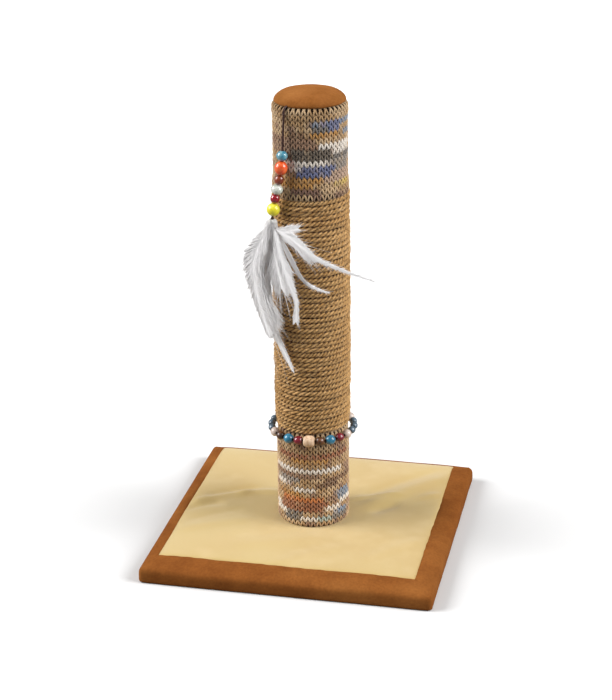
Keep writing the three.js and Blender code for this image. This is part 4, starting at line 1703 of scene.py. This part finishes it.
@dataclass
class FeatherBundle:
    """The white feathers bound together under the knot."""

    root: Array
    down: Array
    frame: ToyFrame = field(default_factory=ToyFrame)
    # Radius and length of the binding, its thread's half width and its turns.
    binding: float = 3.7
    bound: float = 4.0
    thread: float = 0.36
    thread_turns: int = 8
    # Half width of a quill, and the circle the quills stand on.
    quill: float = 0.55
    quill_circle: float = 1.95
    stations: int = 90
    tufts: int = 950
    feathers: tuple[Feather, ...] = (
        Feather(
            "left_plume", 152,
            ((51.8, -14, 341), (53.5, -24, 324), (55, -29, 303), (54, -27, 280),
             (52.5, -19, 254), (52, -10, 232)),
            ((0, 5, 8), (0.08, 9, 15), (0.2, 13, 26), (0.35, 13, 34), (0.5, 9, 32),
             (0.65, 7.5, 23), (0.8, 6, 15), (0.92, 4, 8), (1, 0.8, 0.8)),
            Vane.PLUME, 0.5, 31,
        ),
        Feather(
            "centre_plume", 200,
            ((48.5, -9, 341), (49, -6, 326), (49.5, -1, 310), (50, 3, 298), (50, 5, 288)),
            ((0, 4, 5), (0.15, 10, 10), (0.4, 15, 14), (0.7, 14, 13), (0.9, 10, 9), (1, 6, 6)),
            Vane.PLUME, 0.9, 32,
        ),
        Feather(
            "short", 345,
            ((48.6, -2.6, 346.6), (48.2, 5, 346.5), (47.8, 16, 350), (47.2, 26, 353.5)),
            ((0, 2.5, 4), (0.3, 3.5, 6), (0.6, 3.2, 5), (0.85, 3.4, 4), (1, 2.8, 2.8)),
            Vane.DOWN, 0.4, 33,
        ),
        Feather(
            "long_right", 40,
            ((50.6, -1, 347.6), (52, 18, 345), (53, 38, 338), (53, 58, 330.5),
             (53, 92, 326.5), (53, 128, 325)),
            ((0, 4, 2), (0.06, 10, 5), (0.16, 13, 6), (0.28, 11, 4.5), (0.36, 6, 3),
             (0.45, 3, 2.2), (0.6, 2.2, 1.9), (0.8, 1.3, 1.2), (1, 0.3, 0.3)),
            Vane.BLADE, 0.5, 34,
        ),
        Feather(
            "low_right", 295,
            ((46.2, -1, 341), (46, 11, 324), (46.6, 29, 303), (46.8, 48, 297), (46.6, 66, 296.5)),
            ((0, 2, 2), (0.3, 4, 4), (0.5, 3, 3), (0.65, 2.1, 2.1), (0.85, 1.5, 1.5),
             (1, 0.4, 0.4)),
            Vane.BLADE, 0.25, 35,
        ),
        Feather(
            "down", 92,
            ((54, 2, 342), (56.5, 10, 324), (58.5, 22, 302), (59.5, 33, 284), (59.5, 33, 262)),
            ((0, 2, 2), (0.2, 7, 8), (0.4, 8, 11), (0.55, 6, 7), (0.72, 3.6, 3.8),
             (0.84, 3.8, 3.8), (0.93, 5.2, 4.6), (0.98, 4.6, 4.2), (1, 3.4, 3.0)),
            Vane.DOWN, 0.08, 36,
        ),
        Feather(
            "long_low", 247,
            ((45.8, -11, 340), (45, -16, 318), (44.6, -19, 292), (44.6, -17, 262),
             (44.6, -9, 235), (44.6, 15, 199)),
            ((0, 2, 2), (0.3, 6, 6), (0.6, 5.5, 5.5), (0.75, 4.8, 4.8), (0.88, 3.6, 3.6),
             (0.95, 2.2, 2.2), (1, 0.5, 0.5)),
            Vane.BLADE, 0.15, 37,
        ),
    )

    def shaft(self, feather: Feather) -> Array:
        """Gives a feather's shaft line from inside the binding to its tip.

        Args:
            feather: The feather's sizes.

        Returns:
            The line.
        """
        a = math.radians(feather.place)
        across = math.cos(a) * self.frame.side() + math.sin(a) * self.frame.out()
        start = self.root + across * self.quill_circle
        end = start + self.down * (self.bound + 1)
        route = self.frame.point(np.array(feather.route))
        return curve_through(np.vstack([start, end, route]), self.stations)

    def feather(self, feather: Feather) -> Piece:
        """Builds one feather from its shaft and its barbs.

        Args:
            feather: The feather's sizes.

        Returns:
            The piece.
        """
        rng = np.random.default_rng(feather.seed)
        line = self.shaft(feather)
        gone = travelled(line)
        length = gone[-1]
        ahead = unit(np.gradient(line, axis=0))
        flat = unit(np.cross(self.frame.out(), ahead))
        face = np.cross(ahead, flat)
        shell = Shell()
        shell.sweep(line, face, ring_section(self.quill * (1 - 0.8 * gone / length), 6))
        bare = (self.bound + 1.5) / length
        pace, width, lean, loose, curl = feather.vane.value
        places = np.arange(bare * length, length - 0.3, pace)
        shares = (places / length - bare) / (1 - bare)
        at_share, left, right = (np.array(v) for v in zip(*feather.widths))
        for sign, widths in ((-1.0, left), (1.0, right)):
            reach = np.interp(shares, at_share, widths)
            clump = 1 + 0.1 * smooth_noise(len(places), max(3, len(places) // 9), rng)
            for place, half in zip(places, reach * clump):
                i = min(int(np.searchsorted(gone, place)), len(line) - 1)
                at = spot_on(line, gone, place)
                way = (ahead[i], flat[i] * sign, face[i])
                slant = lean + rng.normal(0, 2 + 25 * loose)
                size = half * rng.uniform(0.9, 1.04)
                self.barb(shell, at, way, size, slant, rng.normal(0, loose), curl, width)
                if rng.random() < feather.fringe:
                    stray = lean + rng.normal(0, 14)
                    size = half * 1.08 + 1.2
                    self.barb(shell, at, way, size, stray, rng.normal(0, 0.2), curl, 0.16)
        piece = shell.build(f"white_{feather.name}_feather")
        return settle(piece, "feathers", WHITE_FEATHER, (f"feather_{feather.name}",))

    def barb(
        self,
        shell: Shell,
        at: Array,
        way: tuple[Array, Array, Array],
        reach: float,
        slant: float,
        lift: float,
        curl: float,
        width: float,
    ) -> None:
        """Adds one barb.

        Args:
            shell: What it is added to.
            at: Where it leaves the shaft.
            way: The shaft's direction, the side it grows to and the feather's face.
            reach: How far out from the shaft it gets.
            slant: Its angle from the shaft in degrees.
            lift: How far it stands off the feather's face, as a share of its length.
            curl: How much it bends towards the tip.
            width: Half its width.
        """
        ahead, side, face = way
        lean = math.radians(min(80.0, max(14.0, slant)))
        size = min(max(0.8, reach / math.sin(lean)), 3 * reach + 2)
        t = np.linspace(0, 1, 6)[:, None]
        line = at + (ahead * math.cos(lean) + side * math.sin(lean)) * t * size
        line = line + (ahead * 0.3 - side * 0.14) * curl * size * t**2
        line = line + face * size * (lift * t**1.5 - 0.05 * t**2)
        radius = width * (1 - 0.8 * t[:, 0] ** 2)
        shell.sweep(line, np.repeat(face[None], 6, 0), ring_section(radius, 4, 0.25))

    def root_fluff(self) -> None:
        """Adds the down that hides the binding and the knot."""
        rng = np.random.default_rng(40)
        shell = Shell()
        side, out = self.frame.side(), self.frame.out()
        for _ in range(self.tufts):
            a = rng.uniform(0, 2 * math.pi)
            around = math.cos(a) * side + math.sin(a) * out
            at = self.root + self.down * rng.uniform(-1.6, self.bound) + around * 2.4
            rise = rng.uniform(0.0, 1.2)
            ahead = unit(self.down * rise + around * 0.7)
            over = unit(np.cross(ahead, around + 0.01 * side))
            t = np.linspace(0, 1, 6)[:, None]
            size = rng.uniform(3.0, 5.0 + 9.0 * rise) * (0.5 if around @ out < -0.2 else 1.0)
            line = at + ahead * size * t + self.down * (0.5 * size) * t**2
            line = line + over * rng.normal(0, 0.8) * t**2
            radius = rng.uniform(0.16, 0.4) * (1 - 0.85 * t[:, 0] ** 2)
            shell.sweep(line, np.repeat(over[None], 6, 0), ring_section(radius, 4, 0.5))
        settle(shell.build("root_fluff"), "feathers", WHITE_FEATHER, ())

    def build(self) -> None:
        """Builds the binding and the feathers."""
        shell = Shell()
        steps = self.thread_turns * 24
        side = self.frame.side()
        front = np.cross(side, self.down)
        middle = self.root + self.down * (self.bound * np.linspace(0.08, 0.92, steps))[:, None]
        wrap = wound(middle, side, front, self.binding - 0.4, self.thread_turns)
        thick = ring_section(np.full(steps, self.thread), 6)
        shell.sweep(wrap, np.repeat(self.down[None], steps, 0), thick)
        settle(shell.build("bound_thread"), "feathers", THREAD, ("feather_binding",))
        for feather in self.feathers:
            self.feather(feather)
        self.root_fluff()


# ---- the whole -------------------------------------------------------------------------------

UPPER_DABS = (
    # Row 0 meets the rope, row 15 lies under the cap.
    Dab(Dye.MAROON, 1, 1, -14, 24),
    Dab(Dye.OCHRE, 2, 2, -40, 16),
    Dab(Dye.YELLOW, 2, 2, 56, 92),
    Dab(Dye.OCHRE, 3, 3, -34, 32),
    Dab(Dye.PINK_GREY, 3, 4, 32, 92),
    Dab(Dye.WHITE, 5, 5, -30, -10),
    Dab(Dye.BLUE, 4, 5, -10, 50),
    Dab(Dye.GREY, 5, 5, 50, 92),
    Dab(Dye.WHITE, 6, 6, -26, 44),
    Dab(Dye.GREY, 6, 6, 44, 96),
    Dab(Dye.CHARCOAL, 7, 8, -22, 48),
    Dab(Dye.SLATE, 7, 7, 48, 100),
    Dab(Dye.MAUVE, 8, 9, -66, -22),
    Dab(Dye.WHITE, 9, 9, 22, 96),
    Dab(Dye.WHITE, 8, 8, 50, 96),
    Dab(Dye.MAUVE, 9, 10, -76, 20),
    Dab(Dye.BROWN, 11, 11, -22, 8),
    Dab(Dye.OCHRE, 11, 11, 10, 66),
    Dab(Dye.GREY_BLUE, 11, 11, 74, 100),
    Dab(Dye.GREY_BLUE, 13, 13, 14, 96),
    Dab(Dye.BLUE, 12, 13, 34, 66),
    Dab(Dye.SLATE, 12, 12, 14, 34),
)

LOWER_DABS = (
    # Row 0 stands on the base, row 18 meets the rope.
    Dab(Dye.WHITE, 1, 1, -12, 22),
    Dab(Dye.TEAL, 1, 1, 22, 36),
    Dab(Dye.SLATE, 1, 2, -36, -12),
    Dab(Dye.SLATE, 1, 1, 36, 84),
    Dab(Dye.GREY_BLUE, 2, 2, 44, 86),
    Dab(Dye.WHITE, 2, 3, -66, -36),
    Dab(Dye.RUST, 3, 4, -46, 30),
    Dab(Dye.WHITE, 3, 3, 34, 60),
    Dab(Dye.WHITE, 4, 4, 60, 98),
    Dab(Dye.ORANGE, 5, 5, -48, 30),
    Dab(Dye.OCHRE, 6, 6, -52, -4),
    Dab(Dye.GREY_BLUE, 5, 6, 54, 90),
    Dab(Dye.WHITE, 7, 7, -20, 14),
    Dab(Dye.WHITE, 8, 8, -66, -28),
    Dab(Dye.BROWN, 8, 8, 14, 50),
    Dab(Dye.BROWN, 9, 9, 30, 92),
    Dab(Dye.GREY, 9, 9, -56, -6),
    Dab(Dye.MAUVE, 10, 10, -60, 26),
    Dab(Dye.WHITE, 11, 11, -60, 62),
    Dab(Dye.OCHRE, 13, 13, -26, 34),
    Dab(Dye.RUST, 14, 14, -58, 76),
)


def dress_hidden(nodes: dict[str, Piece]) -> None:
    """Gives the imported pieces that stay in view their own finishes.

    Args:
        nodes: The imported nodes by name.
    """
    for name, finish in HIDDEN.items():
        nodes[name].data.materials.clear()
        nodes[name].data.materials.append(finish.material())
        log.info("%s keeps its solid, in %s", name, finish.name)


def main() -> None:
    """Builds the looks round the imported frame."""
    logging.basicConfig(level=logging.INFO, format="%(message)s")
    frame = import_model()
    Studio().build()
    knot_at, down = HangingToy().build()
    dress_hidden(frame["nodes"])
    PaddedBase().build()
    KnittedSleeve(
        "knitted_lower_sleeve", "lower_knit", 21.3, 125.0, 42, 19,
        (Dye.TAN, Dye.SAND, Dye.TAN, Dye.MAUVE), LOWER_DABS,
        ((20, 37.0), (24, 37.9), (113, 37.9), (118, 37.0), (126, 36.8)), (15, 17),
    ).build()
    KnittedSleeve(
        "knitted_upper_sleeve", "upper_knit", 376.9, 466.4, 42, 16,
        (Dye.TAN, Dye.SAND, Dye.SAND, Dye.MAUVE), UPPER_DABS,
        ((377, 39.0), (384, 38.8), (396, 37.6), (450, 37.4), (461, 38.2), (465, 38.0), (469, 35.2)),
        (0, 15), seed=17,
    ).build()
    RopeWinding().build()
    PaddedCap().build()
    BeadRing().build()
    FeatherBundle(knot_at + down * 2.0, down).build()
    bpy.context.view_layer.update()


if __name__ == "__main__":
    main()
